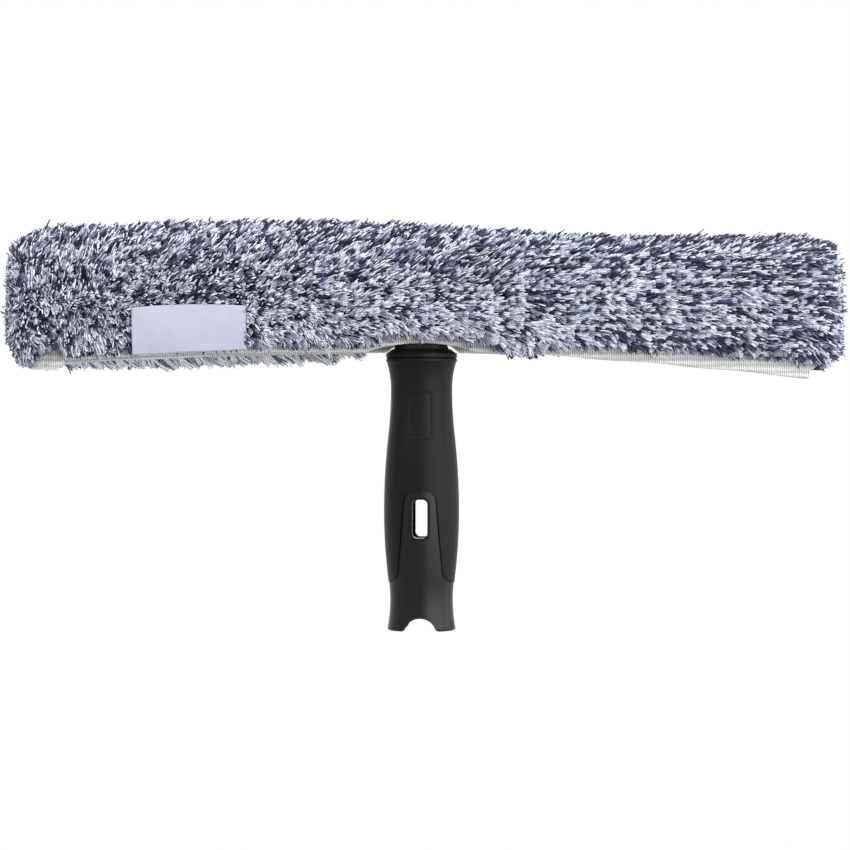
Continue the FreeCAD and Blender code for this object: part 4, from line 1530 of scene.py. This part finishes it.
    def strand_surface(self, tufts: Tufts, bright: float = 0.0) -> Surface:
        """Turns tufts into strands.

        Args:
            tufts: tufts of one piece.
            bright: where along a strand its painted root shade starts, which also adds painted light.

        Returns:
            The strands' surface with their tones.
        """
        rng, brush = self.rng, self.brush
        many = (len(tufts.tip), brush.count)
        tone, width, radius = (
            np.array([getattr(yarn, name) for yarn in self.yarns])[tufts.yarn][:, None]
            for name in ("tone", "width", "radius")
        )
        x = tufts.tip[:, :1]
        middle, normal = tufts.direction[:, None], tufts.normal[:, None]
        helper = normal + rng.normal(0.0, brush.turn, normal.shape)
        across = unit(np.cross(middle, helper))
        other = np.cross(middle, across)
        width, radius = width * brush.width.at(x), radius * brush.radius.at(x)
        beside = np.linspace(-1.0, 1.0, brush.count) + rng.normal(0.0, brush.beside, many)
        layer, uneven = brush.layer
        layers = np.where(np.arange(brush.count) % 2 == 0, layer, -layer) + rng.normal(0.0, uneven, many)
        offset = across * (beside * width)[..., None]
        offset = offset + other * (layers * width * brush.depth.at(x))[..., None]
        hairy = np.where(tufts.yarn == 0, *brush.hairy)[:, None]
        stray = np.where(rng.uniform(0.0, 1.0, many) < hairy, rng.uniform(*brush.stray, many), 0.0)
        reach = rng.normal(0.0, brush.ragged, many) + stray
        end = tufts.tip[:, None] + offset + middle * (reach * MM)[..., None]
        splay = across * (beside * brush.splay)[..., None]
        direction = unit(middle + splay + rng.normal(0.0, brush.bent, (*many, 3)))
        length = (tufts.length[:, None] * rng.uniform(*brush.length, many))[..., None]
        start = end - direction * length
        bend = (start + end) / 2.0 + normal * length * brush.bow
        odd = rng.uniform(0.0, 1.0, many) < brush.odd.at(x)
        tone = tone + rng.normal(0.0, 1.0, many) * brush.tone_spread.at(x)
        # Painted shade between tufts: each tuft's outer strands are darker.
        tone[:, [0, -1]] -= brush.edge
        tone = np.clip(np.where(odd, brush.odd_sum - tone, tone), brush.darkest, 1.0)
        flat = [points.reshape(-1, 3) for points in (start, bend, end)]
        thickness = (radius * rng.uniform(*brush.thickness, many)).ravel()
        surface = brush.rod.surface(*flat, thickness, rng.uniform(0.0, math.tau, many).ravel())
        corners = brush.rod.sides * len(brush.rod.widths)
        # Painted light on strands whose painted root shade starts further along.
        tone = np.clip(tone + brush.painted_light_tone * bright, 0.0, 1.0)
        surface.values[TONE] = np.repeat(tone.ravel(), corners)
        surface.values[ALONG] = bright + (1.0 - bright) * surface.values[ALONG]
        lit = np.broadcast_to(unit(normal + brush.lit * middle), (*many, 3)).reshape(-1, 3)
        own, shared = brush.shading
        surface.normals = unit(surface.normals * own + np.repeat(lit, corners, axis=0) * shared)
        return surface

    def bed_stations(self) -> list[tuple]:
        """Finds the sections of the bed from end to end.

        Returns:
            For each: its place, inset, size, the heights of its lower edges and how far in they close.
        """
        form, ends = self.form, self.ends
        stations = []
        for x in np.linspace(-form.half_length, form.half_length, self.bed_columns):
            levels = [float(form.hem(np.array(x), side)) + form.tape for side in Side]
            if abs(x) > ends.bed_from:
                levels = [max(level, ends.bed_level) for level in levels]
            stations.append((x, float(self.depth(np.array(x))), 1.0, levels, form.outer))
        for hand in Hand:
            added = []
            for share, scale in ends.bed_rings:
                x, inset = form.dome(hand, share)
                deep = float(self.depth(np.array(x)))
                x = x - hand.value * ends.bed * share
                added.append((x, inset + deep, scale, [ends.bed_level] * 2, 0.0))
            stations = added[::-1] + stations if hand is Hand.LEFT else stations + added
        return stations

    def bed_surface(self) -> Surface:
        """Makes the dense ground under the tufts, closed below and at the ends.

        Returns:
            The surface with its tones.
        """
        middle = np.array([0.0, 0.0, self.ends.middle])
        columns = []
        turns = np.linspace(-1.0, 1.0, SECTION_STEPS)
        half = len(turns) // 2
        for x, inset, scale, levels, inner in self.bed_stations():
            points, _ = self.form.section(np.full(turns.shape, x), turns, inset)
            points = points * (1.0, scale, scale) + middle * (1.0 - scale)
            front = np.interp(levels[0], points[:half, 2], turns[:half])
            rear = np.interp(levels[1], points[half:, 2][::-1], turns[half:][::-1])
            row = np.linspace(front, rear, self.bed_rows)
            kept = np.stack([np.interp(row, turns, points[:, k]) for k in range(3)], axis=-1)
            edges = [np.array([[x, sign * inner, kept[at, 2]]]) for sign, at in ((-1.0, 0), (1.0, -1))]
            columns.append(np.concatenate([edges[0], kept, edges[1]]))
        surface = Surface.from_grid(np.stack(columns, axis=1))
        places = surface.points * self.bed_patches
        tone, swing = self.bed_tone
        tone = tone + swing * self.patches.at(places[:, 0], places[:, 2])
        # The bed reads the painted root shade low down, so it is painted dark as shade under the tufts.
        surface.values = {TONE: np.clip(tone, 0.0, 1.0), ALONG: np.full(len(tone), self.bed_painted_shade)}
        return surface

    def build(self) -> list[Object]:
        """Builds the bed and all tufts.

        Returns:
            The pieces.
        """
        made = [Piece("pile_bed", Body.SLEEVE, Slot.PILE).place(self.bed_surface(), self.palette.pile)]
        tufts = self.main_tufts()
        front, x = tufts.tip[:, 1] < 0.0, tufts.tip[:, 0]
        left, right = x < -self.parting, x > self.parting
        areas = []
        for name, inside in (("left", left), ("middle", ~left & ~right), ("right", right)):
            areas.append((f"pile_front_{name}", tufts.chosen(front & inside), 0.0))
            areas.append((f"pile_rear_{name}", tufts.chosen(~front & inside), 0.0))
        for side in Side:
            name = f"pile_fringe_{side.name.lower()}"
            areas.append((name, self.fringe_tufts(side), side.of(self.fringe.bright)))
        for name, area, bright in areas:
            piece = Piece(name, Body.SLEEVE, Slot.PILE)
            made.append(piece.place(self.strand_surface(area, bright), self.palette.pile))
        for hand in Hand:
            name = hand.name.lower()
            piece = Piece(f"pile_end_{name}", Body.SLEEVE, Slot.PILE, (f"end_panel_{name}",))
            made.append(piece.place(self.strand_surface(self.end_tufts(hand)), self.palette.pile))
        return made


@dataclass(frozen=True)
class CornerTab:
    """Loose end of the binding, folded at the left front corner."""

    # X and Z in millimetres: lower left corner, ways to its neighbours, and what the last one adds.
    corner: Pair = (-212.5, 142.7)
    run: Pair = (14.7, -0.5)
    up: Pair = (4.9, 6.6)
    skew: Pair = (-3.8, 5.4)
    # How far the right edge bulges out, in millimetres.
    bulge: float = 3.8
    # Rise and distance from the cloth along the fold, from the upper edge round the lower one.
    rise: Course = Course((0.0, 0.54, 0.6, 0.66, 1.0), (1.0, 0.04, 0.0, 0.04, 0.6))
    depth: Course = Course((0.0, 0.3, 0.52, 0.6, 0.68, 1.0), (1.2, 2.6, 3.2, 2.4, 1.4, 0.6))
    # Size of the crinkles along X, Y and Z, their length, and the sheet that they are read over.
    crinkle: Point = (0.4 * MM, 0.45 * MM, 0.35 * MM)
    wavelength: float = 8.0 * MM
    size: Pair = (18.0 * MM, 22.0 * MM)
    # Points across the tab and along its fold.
    steps: tuple[int, int] = (30, 40)

    def surface(self, outer: float) -> Surface:
        """Folds the tab.

        Args:
            outer: outside of the cloth from the middle plane.

        Returns:
            The open sheet.
        """
        noise = SmoothNoise(np.random.default_rng(SEED + 2), self.wavelength)
        across, along = np.meshgrid(*[np.linspace(0.0, 1.0, steps) for steps in self.steps])
        rise = self.rise.at(along)
        wave = noise.at(across * self.size[0], along * self.size[1])
        x, z = (
            start + run * across + rise * (up + skew * across)
            for start, run, up, skew in zip(self.corner, self.run, self.up, self.skew)
        )
        x = x + self.bulge * (4.0 * across * rise * (1.0 - rise))
        y = -(outer + self.depth.at(along) * MM + self.crinkle[1] * wave)
        x, z = x * MM + self.crinkle[0] * wave, z * MM + self.crinkle[2] * wave
        return Surface.from_grid(np.stack([x, y, z], axis=-1))


@dataclass
class Hems:
    """White tapes folded over the lower edges of the cloth, their stitches and the folded corner tab."""

    form: SleeveForm
    palette: Palette
    tab: CornerTab = CornerTab()
    # Right ends of the front and the rear tape, how far their upper edges run on, and left inset.
    stops: Pair = (209.0 * MM, 204.0 * MM)
    slant: float = 2.6 * MM
    inset: float = 2.0 * MM
    # Thickness of the tape, height where its fold starts, and middle height and depth of the fold.
    thickness: float = 0.55 * MM
    straight: float = 1.4 * MM
    fold: Pair = (1.2 * MM, 1.0 * MM)
    # Size of the loose edge's waves and of the faces' ripple, their length, and rates of the ripple.
    slack_height: float = 0.35 * MM
    slack_depth: float = 0.18 * MM
    slack_length: float = 38.0 * MM
    ripple_rates: Pair = (1.7, 3.0)
    # Columns of points along a tape.
    columns: int = 260
    # Length, gap, height over the hem's edge, distance from the tape and bow of the stitches.
    stitch: float = 2.6 * MM
    stitch_gap: float = 0.7 * MM
    stitch_height: float = 6.4 * MM
    stitch_lift: float = 0.45 * MM
    stitch_bow: float = 0.4 * MM
    # Distance of the seam from the ends of the cloth, radius of the thread, and form of a stitch.
    seam_ends: Pair = (6.0 * MM, 10.0 * MM)
    thread: float = 0.24 * MM
    rod: RodShape = RodShape(sides=5, widths=(0.6, 1.0, 1.0, 0.6))

    def __post_init__(self) -> None:
        """Draws the slack of the tape."""
        self.slack = SmoothNoise(np.random.default_rng(SEED + 1), self.slack_length)

    def tape_surface(self, side: Side) -> Surface:
        """Folds the tape over one hem.

        Args:
            side: front or rear hem.

        Returns:
            The open sheet of the tape.
        """
        form = self.form
        half = (form.outer - form.inner) / 2.0 + self.thickness / 2.0
        face = [(half, rise) for rise in np.linspace(form.tape, self.straight, 8)]
        angles = np.linspace(0.0, -math.pi, 9)[1:-1]
        height, depth = self.fold
        fold = [(half * math.cos(angle), height + depth * math.sin(angle)) for angle in angles]
        back = [(-out, rise) for out, rise in face[::-1]]
        path = np.array(face + fold + back)
        stop = side.of(self.stops)
        right = np.interp(path[:, 1], (0.0, form.tape), (stop, stop + self.slant))
        left = np.full(len(path), -form.half_length + self.inset)
        share = np.linspace(0.0, 1.0, self.columns)
        x = left[:, None] + (right - left)[:, None] * share
        loose = self.slack.at(x, np.full_like(x, 0.01 * side.value))
        hem = form.hem(x, side) + self.slack_height * loose
        along, up = self.ripple_rates
        ripple = self.slack_depth * (1.0 + self.slack.at(x * along, path[:, 1:] * up)) * np.sign(path[:, :1])
        y = side.value * (form.middle + path[:, :1] + ripple)
        return Surface.from_grid(np.stack([x, np.broadcast_to(y, x.shape), hem + path[:, 1:]], axis=-1))

    def seam_surface(self, side: Side) -> Surface:
        """Sews one run of stitches along the tape.

        Args:
            side: front or rear hem.

        Returns:
            The stitches.
        """
        form = self.form
        low, high = -form.half_length + self.seam_ends[0], form.half_length - self.seam_ends[1]
        first = np.arange(low, high, self.stitch + self.stitch_gap)
        depth = np.full_like(first, side.value * (form.outer + self.thickness + self.stitch_lift))
        start, end = (
            np.stack([x, depth, form.hem(x, side) + self.stitch_height], axis=-1)
            for x in (first, first + self.stitch)
        )
        bend = (start + end) / 2.0 + (0.0, side.value * self.stitch_bow, 0.0)
        return self.rod.surface(start, bend, end, np.full(len(first), self.thread), np.zeros(len(first)))

    def build(self) -> list[Object]:
        """Builds both tapes, their seams and the tab.

        Returns:
            The pieces.
        """
        made = []
        for side in Side:
            name = side.name.lower()
            tape = Piece(f"hem_{name}", Body.SLEEVE, Slot.TAPE, (f"{name}_hem_tape",))
            made.append(tape.place(self.tape_surface(side), self.palette.tape, self.thickness))
            seam = Piece(f"hem_seam_{name}", Body.SLEEVE, Slot.TAPE)
            made.append(seam.place(self.seam_surface(side), self.palette.thread))
        tab = Piece("corner_tab", Body.SLEEVE, Slot.TAPE)
        made.append(tab.place(self.tab.surface(self.form.outer), self.palette.tape, self.thickness))
        return made


@dataclass
class Fasteners:
    """Hook tape inside the front hem and loop tape inside the rear hem."""

    form: SleeveForm
    palette: Palette
    # Inner and outer end of each strip, its distance from the tape's edges, and its thickness.
    start: float = 42.0 * MM
    stop: float = 206.0 * MM
    margin: float = 0.7 * MM
    thickness: float = 0.9 * MM
    # Depth of the tape's inner face, the strip's distance from it, and size of the softened edges.
    face: float = 12.5 * MM
    gap: float = 0.05 * MM
    soft: float = 0.25 * MM
    # Columns of points along a strip, and rows on its free face.
    columns: int = 90
    rows: int = 7

    def strip_surface(self, side: Side, hand: Hand) -> Surface:
        """Shapes one strip with softened edges.

        Args:
            side: front or rear hem.
            hand: left or right of the neck.

        Returns:
            The closed strip.
        """
        form, soft = self.form, self.soft
        low, high = self.margin, form.tape - self.margin
        near, far = self.face - self.gap, self.face - self.thickness
        profile = [(near, low + soft), (near, high - soft), (near - soft, high)]
        rises = np.linspace(high - soft, low + soft, self.rows)
        profile += [(far + soft, high)] + [(far, rise) for rise in rises]
        profile += [(far + soft, low), (near - soft, low)]
        path = np.array(profile)
        x = hand.value * np.linspace(self.start, self.stop, self.columns)
        grid_x = np.broadcast_to(x, (len(path), len(x)))
        y = np.broadcast_to(side.value * path[:, :1], grid_x.shape)
        grid = np.stack([grid_x, y, form.hem(grid_x, side) + path[:, 1:]], axis=-1)
        middles = (grid[:, at : at + 1].mean(axis=0, keepdims=True) for at in (0, -1))
        ends = [np.repeat(middle, len(path), axis=0) for middle in middles]
        return Surface.from_grid(np.concatenate([ends[0], grid, ends[1]], axis=1), closed=True)

    def build(self) -> list[Object]:
        """Builds the four strips.

        Returns:
            The pieces.
        """
        made = []
        kinds = (("hook", self.palette.hook), ("loop", self.palette.loop))
        for side in Side:
            kind, material = side.of(kinds)
            for hand in Hand:
                name = f"{kind}_tape_{hand.name.lower()}"
                piece = Piece(f"{kind}_strip_{hand.name.lower()}", Body.SLEEVE, Slot.FASTENER, (name,))
                made.append(piece.place(self.strip_surface(side, hand), material))
        return made


@dataclass
class Backing:
    """The woven ground of the sleeve: one cloth laid over the crossbar, hanging open in front and behind."""

    form: SleeveForm
    palette: Palette
    # Thickness, radius over the crossbar's edges, and distance of the last rows from the middle plane.
    thickness: float = 2.0 * MM
    corner: float = 4.0 * MM
    crest: float = 4.0 * MM
    # Height of the edge in the fold of the tape, where it rises towards the right end, and how far.
    fold: float = 1.5 * MM
    cut_from: float = 208.0 * MM
    cut: float = 8.0 * MM
    # Columns of points along the cloth, rows down each side, and rows round each edge of the crossbar.
    columns: int = 120
    hanging_rows: int = 14
    bend_rows: int = 6

    def surface(self) -> Surface:
        """Lays the cloth over the crossbar.

        Returns:
            The open sheet.
        """
        form = self.form
        x = np.linspace(-form.half_length, form.half_length, self.columns)
        top = (form.ceiling + form.crown) / 2.0
        bend = top - self.corner
        rows = []
        for side, order in ((Side.FRONT, 1), (Side.REAR, -1)):
            half = []
            rise = self.cut * np.clip((x - self.cut_from) / self.cut, 0.0, 1.0)
            foot = form.hem(x, side) + self.fold + rise
            for share in np.linspace(0.0, 1.0, self.hanging_rows):
                half.append((np.full_like(x, form.middle), foot + (bend - foot) * share))
            for angle in np.linspace(0.0, math.pi / 2.0, self.bend_rows)[1:]:
                y = form.middle - self.corner * (1.0 - math.cos(angle))
                half.append((np.full_like(x, y), np.full_like(x, bend + self.corner * math.sin(angle))))
            half.append((np.full_like(x, self.crest), np.full_like(x, top)))
            rows += [np.stack([x, side.value * y, z], axis=-1) for y, z in half][::order]
        return Surface.from_grid(np.stack(rows))

    def flat_size(self) -> Pair:
        """Length and girth of the cloth before it was laid."""
        girth = 2.0 * (self.form.ceiling - self.form.hem_height) + 2.0 * self.form.middle
        return 2.0 * self.form.half_length, girth

    def build(self) -> list[Object]:
        """Builds the cloth, which stands for the sleeve's solid."""
        piece = Piece("sleeve_backing", Body.SLEEVE, Slot.PILE, ("sleeve_fabric",))
        return [piece.place(self.surface(), self.palette.backing, self.thickness)]


@dataclass
class Label:
    """The bare woven label that is sewn into the front hem and lies on the pile."""

    form: SleeveForm
    area: LabelArea
    palette: Palette
    # Depth and length of the soft waves, and points across and up the label.
    wave: float = 0.25 * MM
    wavelength: float = 24.0 * MM
    steps: tuple[int, int] = (70, 30)

    def surface(self) -> Surface:
        """Lays the label on the pile, with soft waves.

        Returns:
            The open sheet.
        """
        area = self.area
        noise = SmoothNoise(np.random.default_rng(SEED + 3), self.wavelength)
        across, up = np.meshgrid(*[np.linspace(0.0, 1.0, steps) for steps in self.steps])
        x = area.left + (area.right - area.left) * across
        lower, upper = area.edges(x)
        z = lower + (upper - lower) * up
        turn = self.form.front_turn(x.ravel(), z.ravel())
        points, normals = self.form.section(x.ravel(), turn)
        points = (points + normals * area.lift).reshape(*x.shape, 3)
        points[..., 1] -= self.wave * (1.0 + noise.at(x, z))
        return Surface.from_grid(points)

    def build(self) -> list[Object]:
        """Builds the label."""
        patch = Piece("label_patch", Body.SLEEVE, Slot.LABEL, ("label",))
        return [patch.place(self.surface(), self.palette.label, self.area.thickness)]


@dataclass
class Handle:
    """Finishes of the rigid parts, and the bare raised plate on the grip."""

    palette: Palette
    # Width of the plate, its lower and upper edge, radius of its corners, and height of its rim.
    plate_width: float = 14.8 * MM
    plate_foot: float = 103.9 * MM
    plate_top: float = 130.7 * MM
    corner: float = 3.0 * MM
    proud: float = 0.35 * MM
    # Rise from outside the edge to the field as shares of that height, over millimetres inside the edge.
    profile: Course = Course((-1.0, 0.0, 0.3, 0.8, 1.2), (-0.4, -0.25, 1.0, 1.0, 0.12), MM)
    # Height and radius of the grip's belly and waist, and share of the taper that curves like the belly.
    belly: Pair = (65.2 * MM, 20.55 * MM)
    waist: Pair = (132.0 * MM, 16.75 * MM)
    taper_share: float = 0.62
    # Points across and up the plate.
    steps: tuple[int, int] = (90, 150)

    def grip_radius(self, z: Array) -> Array:
        """Finds the grip's radius on its taper.

        Args:
            z: heights between the belly and the waist.

        Returns:
            The radius at each height.
        """
        height, fall = self.waist[0] - self.belly[0], self.belly[1] - self.waist[1]
        taper = (height**2 + fall**2) / (2.0 * fall)
        low, high = taper * self.taper_share, taper * (1.0 - self.taper_share)
        lower = self.belly[1] - low + np.sqrt(low**2 - (z - self.belly[0]) ** 2)
        upper = self.waist[1] + high - np.sqrt(high**2 - (self.waist[0] - z) ** 2)
        return np.where(z < self.belly[0] + height * self.taper_share, lower, upper)

    def plate_surface(self) -> Surface:
        """Shapes the plate: a rounded rectangle with a thin raised rim and a plain field.

        Returns:
            The open sheet that sits on the grip.
        """
        middle, high = (self.plate_foot + self.plate_top) / 2.0, (self.plate_top - self.plate_foot) / 2.0
        wide = self.plate_width / 2.0
        spans = ((-wide, wide, self.steps[0]), (-high, high, self.steps[1]))
        a, b = np.meshgrid(*[np.linspace(*span) for span in spans])
        past_a, past_b = np.abs(a) - wide, np.abs(b) - high
        round_a, round_b = (np.maximum(past + self.corner, 0.0) for past in (past_a, past_b))
        at_corner = (round_a > 0.0) & (round_b > 0.0)
        inside = np.where(
            at_corner, self.corner - np.hypot(round_a, round_b), -np.maximum(past_a, past_b)
        )
        radius = self.grip_radius(middle + b)
        outside, angle = radius + self.proud * self.profile.at(inside), a / radius
        points = [outside * np.sin(angle), -outside * np.cos(angle), middle + b]
        return Surface.from_grid(np.stack(points, axis=-1))

    def build(self) -> list[Object]:
        """Gives the CAD nodes their finishes and adds the plate.

        Returns:
            The nodes and the new piece.
        """
        finishes = {
            "handle_core": self.palette.core,
            "grip_overmould": self.palette.grip,
            "t_bar": self.palette.bar,
            "stem_screw": self.palette.steel,
            "stem_washer": self.palette.steel,
        }
        made = []
        for name, material in finishes.items():
            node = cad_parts[name]
            node.data.materials.clear()
            node.data.materials.append(material)
            made.append(node)
        plate = Piece("grip_plate", Body.HANDLE, Slot.RUBBER)
        made.append(plate.place(self.plate_surface(), self.palette.grip))
        return made


@dataclass(frozen=True)
class Lamp:
    """A soft rectangular lamp.

    Attributes:
        name: name of the lamp.
        place: where it stands.
        power: power in watts.
        width: width of its face.
        height: height of its face.
    """

    name: str
    place: Point
    power: float
    width: float
    height: float

    def add(self, target: Vector) -> None:
        """Adds the lamp to the scene.

        Args:
            target: point that it is turned to.
        """
        data = bpy.data.lights.new(self.name, "AREA")
        data.energy = self.power
        data.shape = "RECTANGLE"
        data.size, data.size_y = self.width, self.height
        lamp = bpy.data.objects.new(self.name, data)
        lamp.location = self.place
        lamp.rotation_euler = (target - Vector(self.place)).to_track_quat("-Z", "Y").to_euler()
        bpy.context.scene.collection.objects.link(lamp)


@dataclass
class Studio:
    """White studio: floor, lamps, world and the camera at the photograph's viewing angle."""

    # Middle of the picture, distance of the camera, and how far it stands to the right, in degrees.
    aim: Point = (1.9 * MM, 0.0, 112.1 * MM)
    distance: float = 1.6
    yaw: float = 3.0
    # Width of the picture at the object, and of the camera's sensor in millimetres.
    field: float = 0.465
    sensor: float = 36.0
    # Height and radius of the floor, share of the radius where it starts to fade, points round and across.
    floor: float = -0.2
    floor_radius: float = 0.36
    floor_full: float = 0.55
    floor_steps: tuple[int, int] = (97, 12)
    # Strength of the world's light, and the lamps.
    ambient: float = 0.45
    lamps: tuple[Lamp, ...] = (
        Lamp("key", (1.12, -0.95, 0.3), 28.0, 1.9, 1.0),
        Lamp("front", (-0.2, -1.1, 1.2), 10.0, 0.9, 0.9),
        Lamp("fill", (-1.0, -0.9, 1.05), 12.0, 0.8, 0.8),
        Lamp("top", (0.0, 0.25, 1.35), 7.0, 0.9, 0.9),
        Lamp("back", (-0.3, 1.3, 0.6), 10.0, 0.9, 0.9),
        Lamp("side", (1.25, 0.25, 0.25), 4.5, 0.7, 0.9),
    )

    def make_world(self) -> None:
        """Makes a plain world that is white wherever it is seen."""
        world = bpy.data.worlds.new("studio")
        world.use_nodes = True
        world.node_tree.nodes.clear()
        graph = Graph(world.node_tree)
        path = graph.add("ShaderNodeLightPath").outputs
        seen = graph.math("MAXIMUM", path["Is Camera Ray"], path["Is Glossy Ray"])
        seen = graph.math("MAXIMUM", seen, path["Is Transmission Ray"])
        white = (1.0, 1.0, 1.0, 1.0)
        lit = graph.add("ShaderNodeBackground", {"Color": white, "Strength": self.ambient})
        shown = graph.add("ShaderNodeBackground", {"Color": white, "Strength": 1.0})
        mixed = graph.add(
            "ShaderNodeMixShader", {0: seen, 1: lit.outputs["Background"], 2: shown.outputs["Background"]}
        )
        graph.add("ShaderNodeOutputWorld", {"Surface": mixed.outputs["Shader"]})
        bpy.context.scene.world = world

    def make_floor(self) -> Object:
        """Makes a pale round floor that fades out at its rim.

        Returns:
            The floor.
        """
        finish = Finish("pale_floor", (0.86, 0.86, 0.86), 0.9)
        material, graph, shader = finish.start()
        place = graph.add("ShaderNodeTexCoord").outputs["Object"]
        away = graph.add("ShaderNodeVectorMath", {0: place}, operation="LENGTH").outputs["Value"]
        limits = {"From Min": self.floor_radius * self.floor_full, "From Max": self.floor_radius}
        fade = graph.add("ShaderNodeMapRange", {"Value": away, **limits}).outputs["Result"]
        clear = graph.add("ShaderNodeBsdfTransparent")
        mixed = graph.add(
            "ShaderNodeMixShader", {0: fade, 1: shader.outputs["BSDF"], 2: clear.outputs["BSDF"]}
        )
        output = material.node_tree.nodes["Material Output"]
        graph.feed(output, {"Surface": mixed.outputs["Shader"]})
        spans = zip((math.tau, self.floor_radius), self.floor_steps)
        angle, radius = np.meshgrid(*[np.linspace(0.0, last, steps) for last, steps in spans])
        grid = np.stack([radius * np.cos(angle), radius * np.sin(angle), np.zeros_like(angle)], axis=-1)
        mesh = Surface.from_grid(grid).mesh("studio_floor")
        mesh.materials.append(material)
        floor = bpy.data.objects.new("studio_floor", mesh)
        floor.location = (0.0, 0.0, self.floor)
        bpy.context.scene.collection.objects.link(floor)
        return floor

    def make_camera(self) -> Object:
        """Makes the camera.

        Returns:
            The camera.
        """
        data = bpy.data.cameras.new("camera")
        data.sensor_width = self.sensor
        data.lens = data.sensor_width * self.distance / self.field
        camera = bpy.data.objects.new("camera", data)
        turn = math.radians(self.yaw)
        aim = Vector(self.aim)
        camera.location = aim + self.distance * Vector((math.sin(turn), -math.cos(turn), 0.0))
        camera.rotation_euler = (aim - camera.location).to_track_quat("-Z", "Y").to_euler()
        bpy.context.scene.collection.objects.link(camera)
        bpy.context.scene.camera = camera
        return camera

    def build(self) -> list[Object]:
        """Builds the whole studio.

        Returns:
            The floor and the camera.
        """
        bpy.context.scene.view_settings.view_transform = "Standard"
        self.make_world()
        for lamp in self.lamps:
            lamp.add(Vector(self.aim))
        return [self.make_floor(), self.make_camera()]


def declare_cloth(label: Label, sleeve: list[Object]) -> None:
    """Picks the backing and the label patch out of the sleeve's pieces, and finds the label's flat size.

    Args:
        label: label on its front.
        sleeve: all pieces of the sleeve.
    """
    named = {piece.name: piece for piece in sleeve}
    ground, patch = named.pop("sleeve_backing"), named.pop("label_patch")
    list(named.values())
    label.area.flat_size()


def main() -> None:
    """Builds the sub-assemblies in order and reports each piece."""
    logging.basicConfig(level=logging.INFO, format="%(message)s")
    palette, form, area = Palette(), SleeveForm(), LabelArea()
    backing, label = Backing(form, palette), Label(form, area, palette)
    pile, hems, fasteners = Pile(form, area, palette), Hems(form, palette), Fasteners(form, palette)
    sleeve = []
    for assembly in (backing, pile, hems, fasteners, label):
        sleeve += assembly.build()
    declare_cloth(label, sleeve)
    for made in sleeve + Handle(palette).build() + Studio().build():
        faces = len(made.data.polygons) if made.type == "MESH" else 0
        LOG.info("%s: %d faces", made.name, faces)


if __name__ == "__main__":
    main()
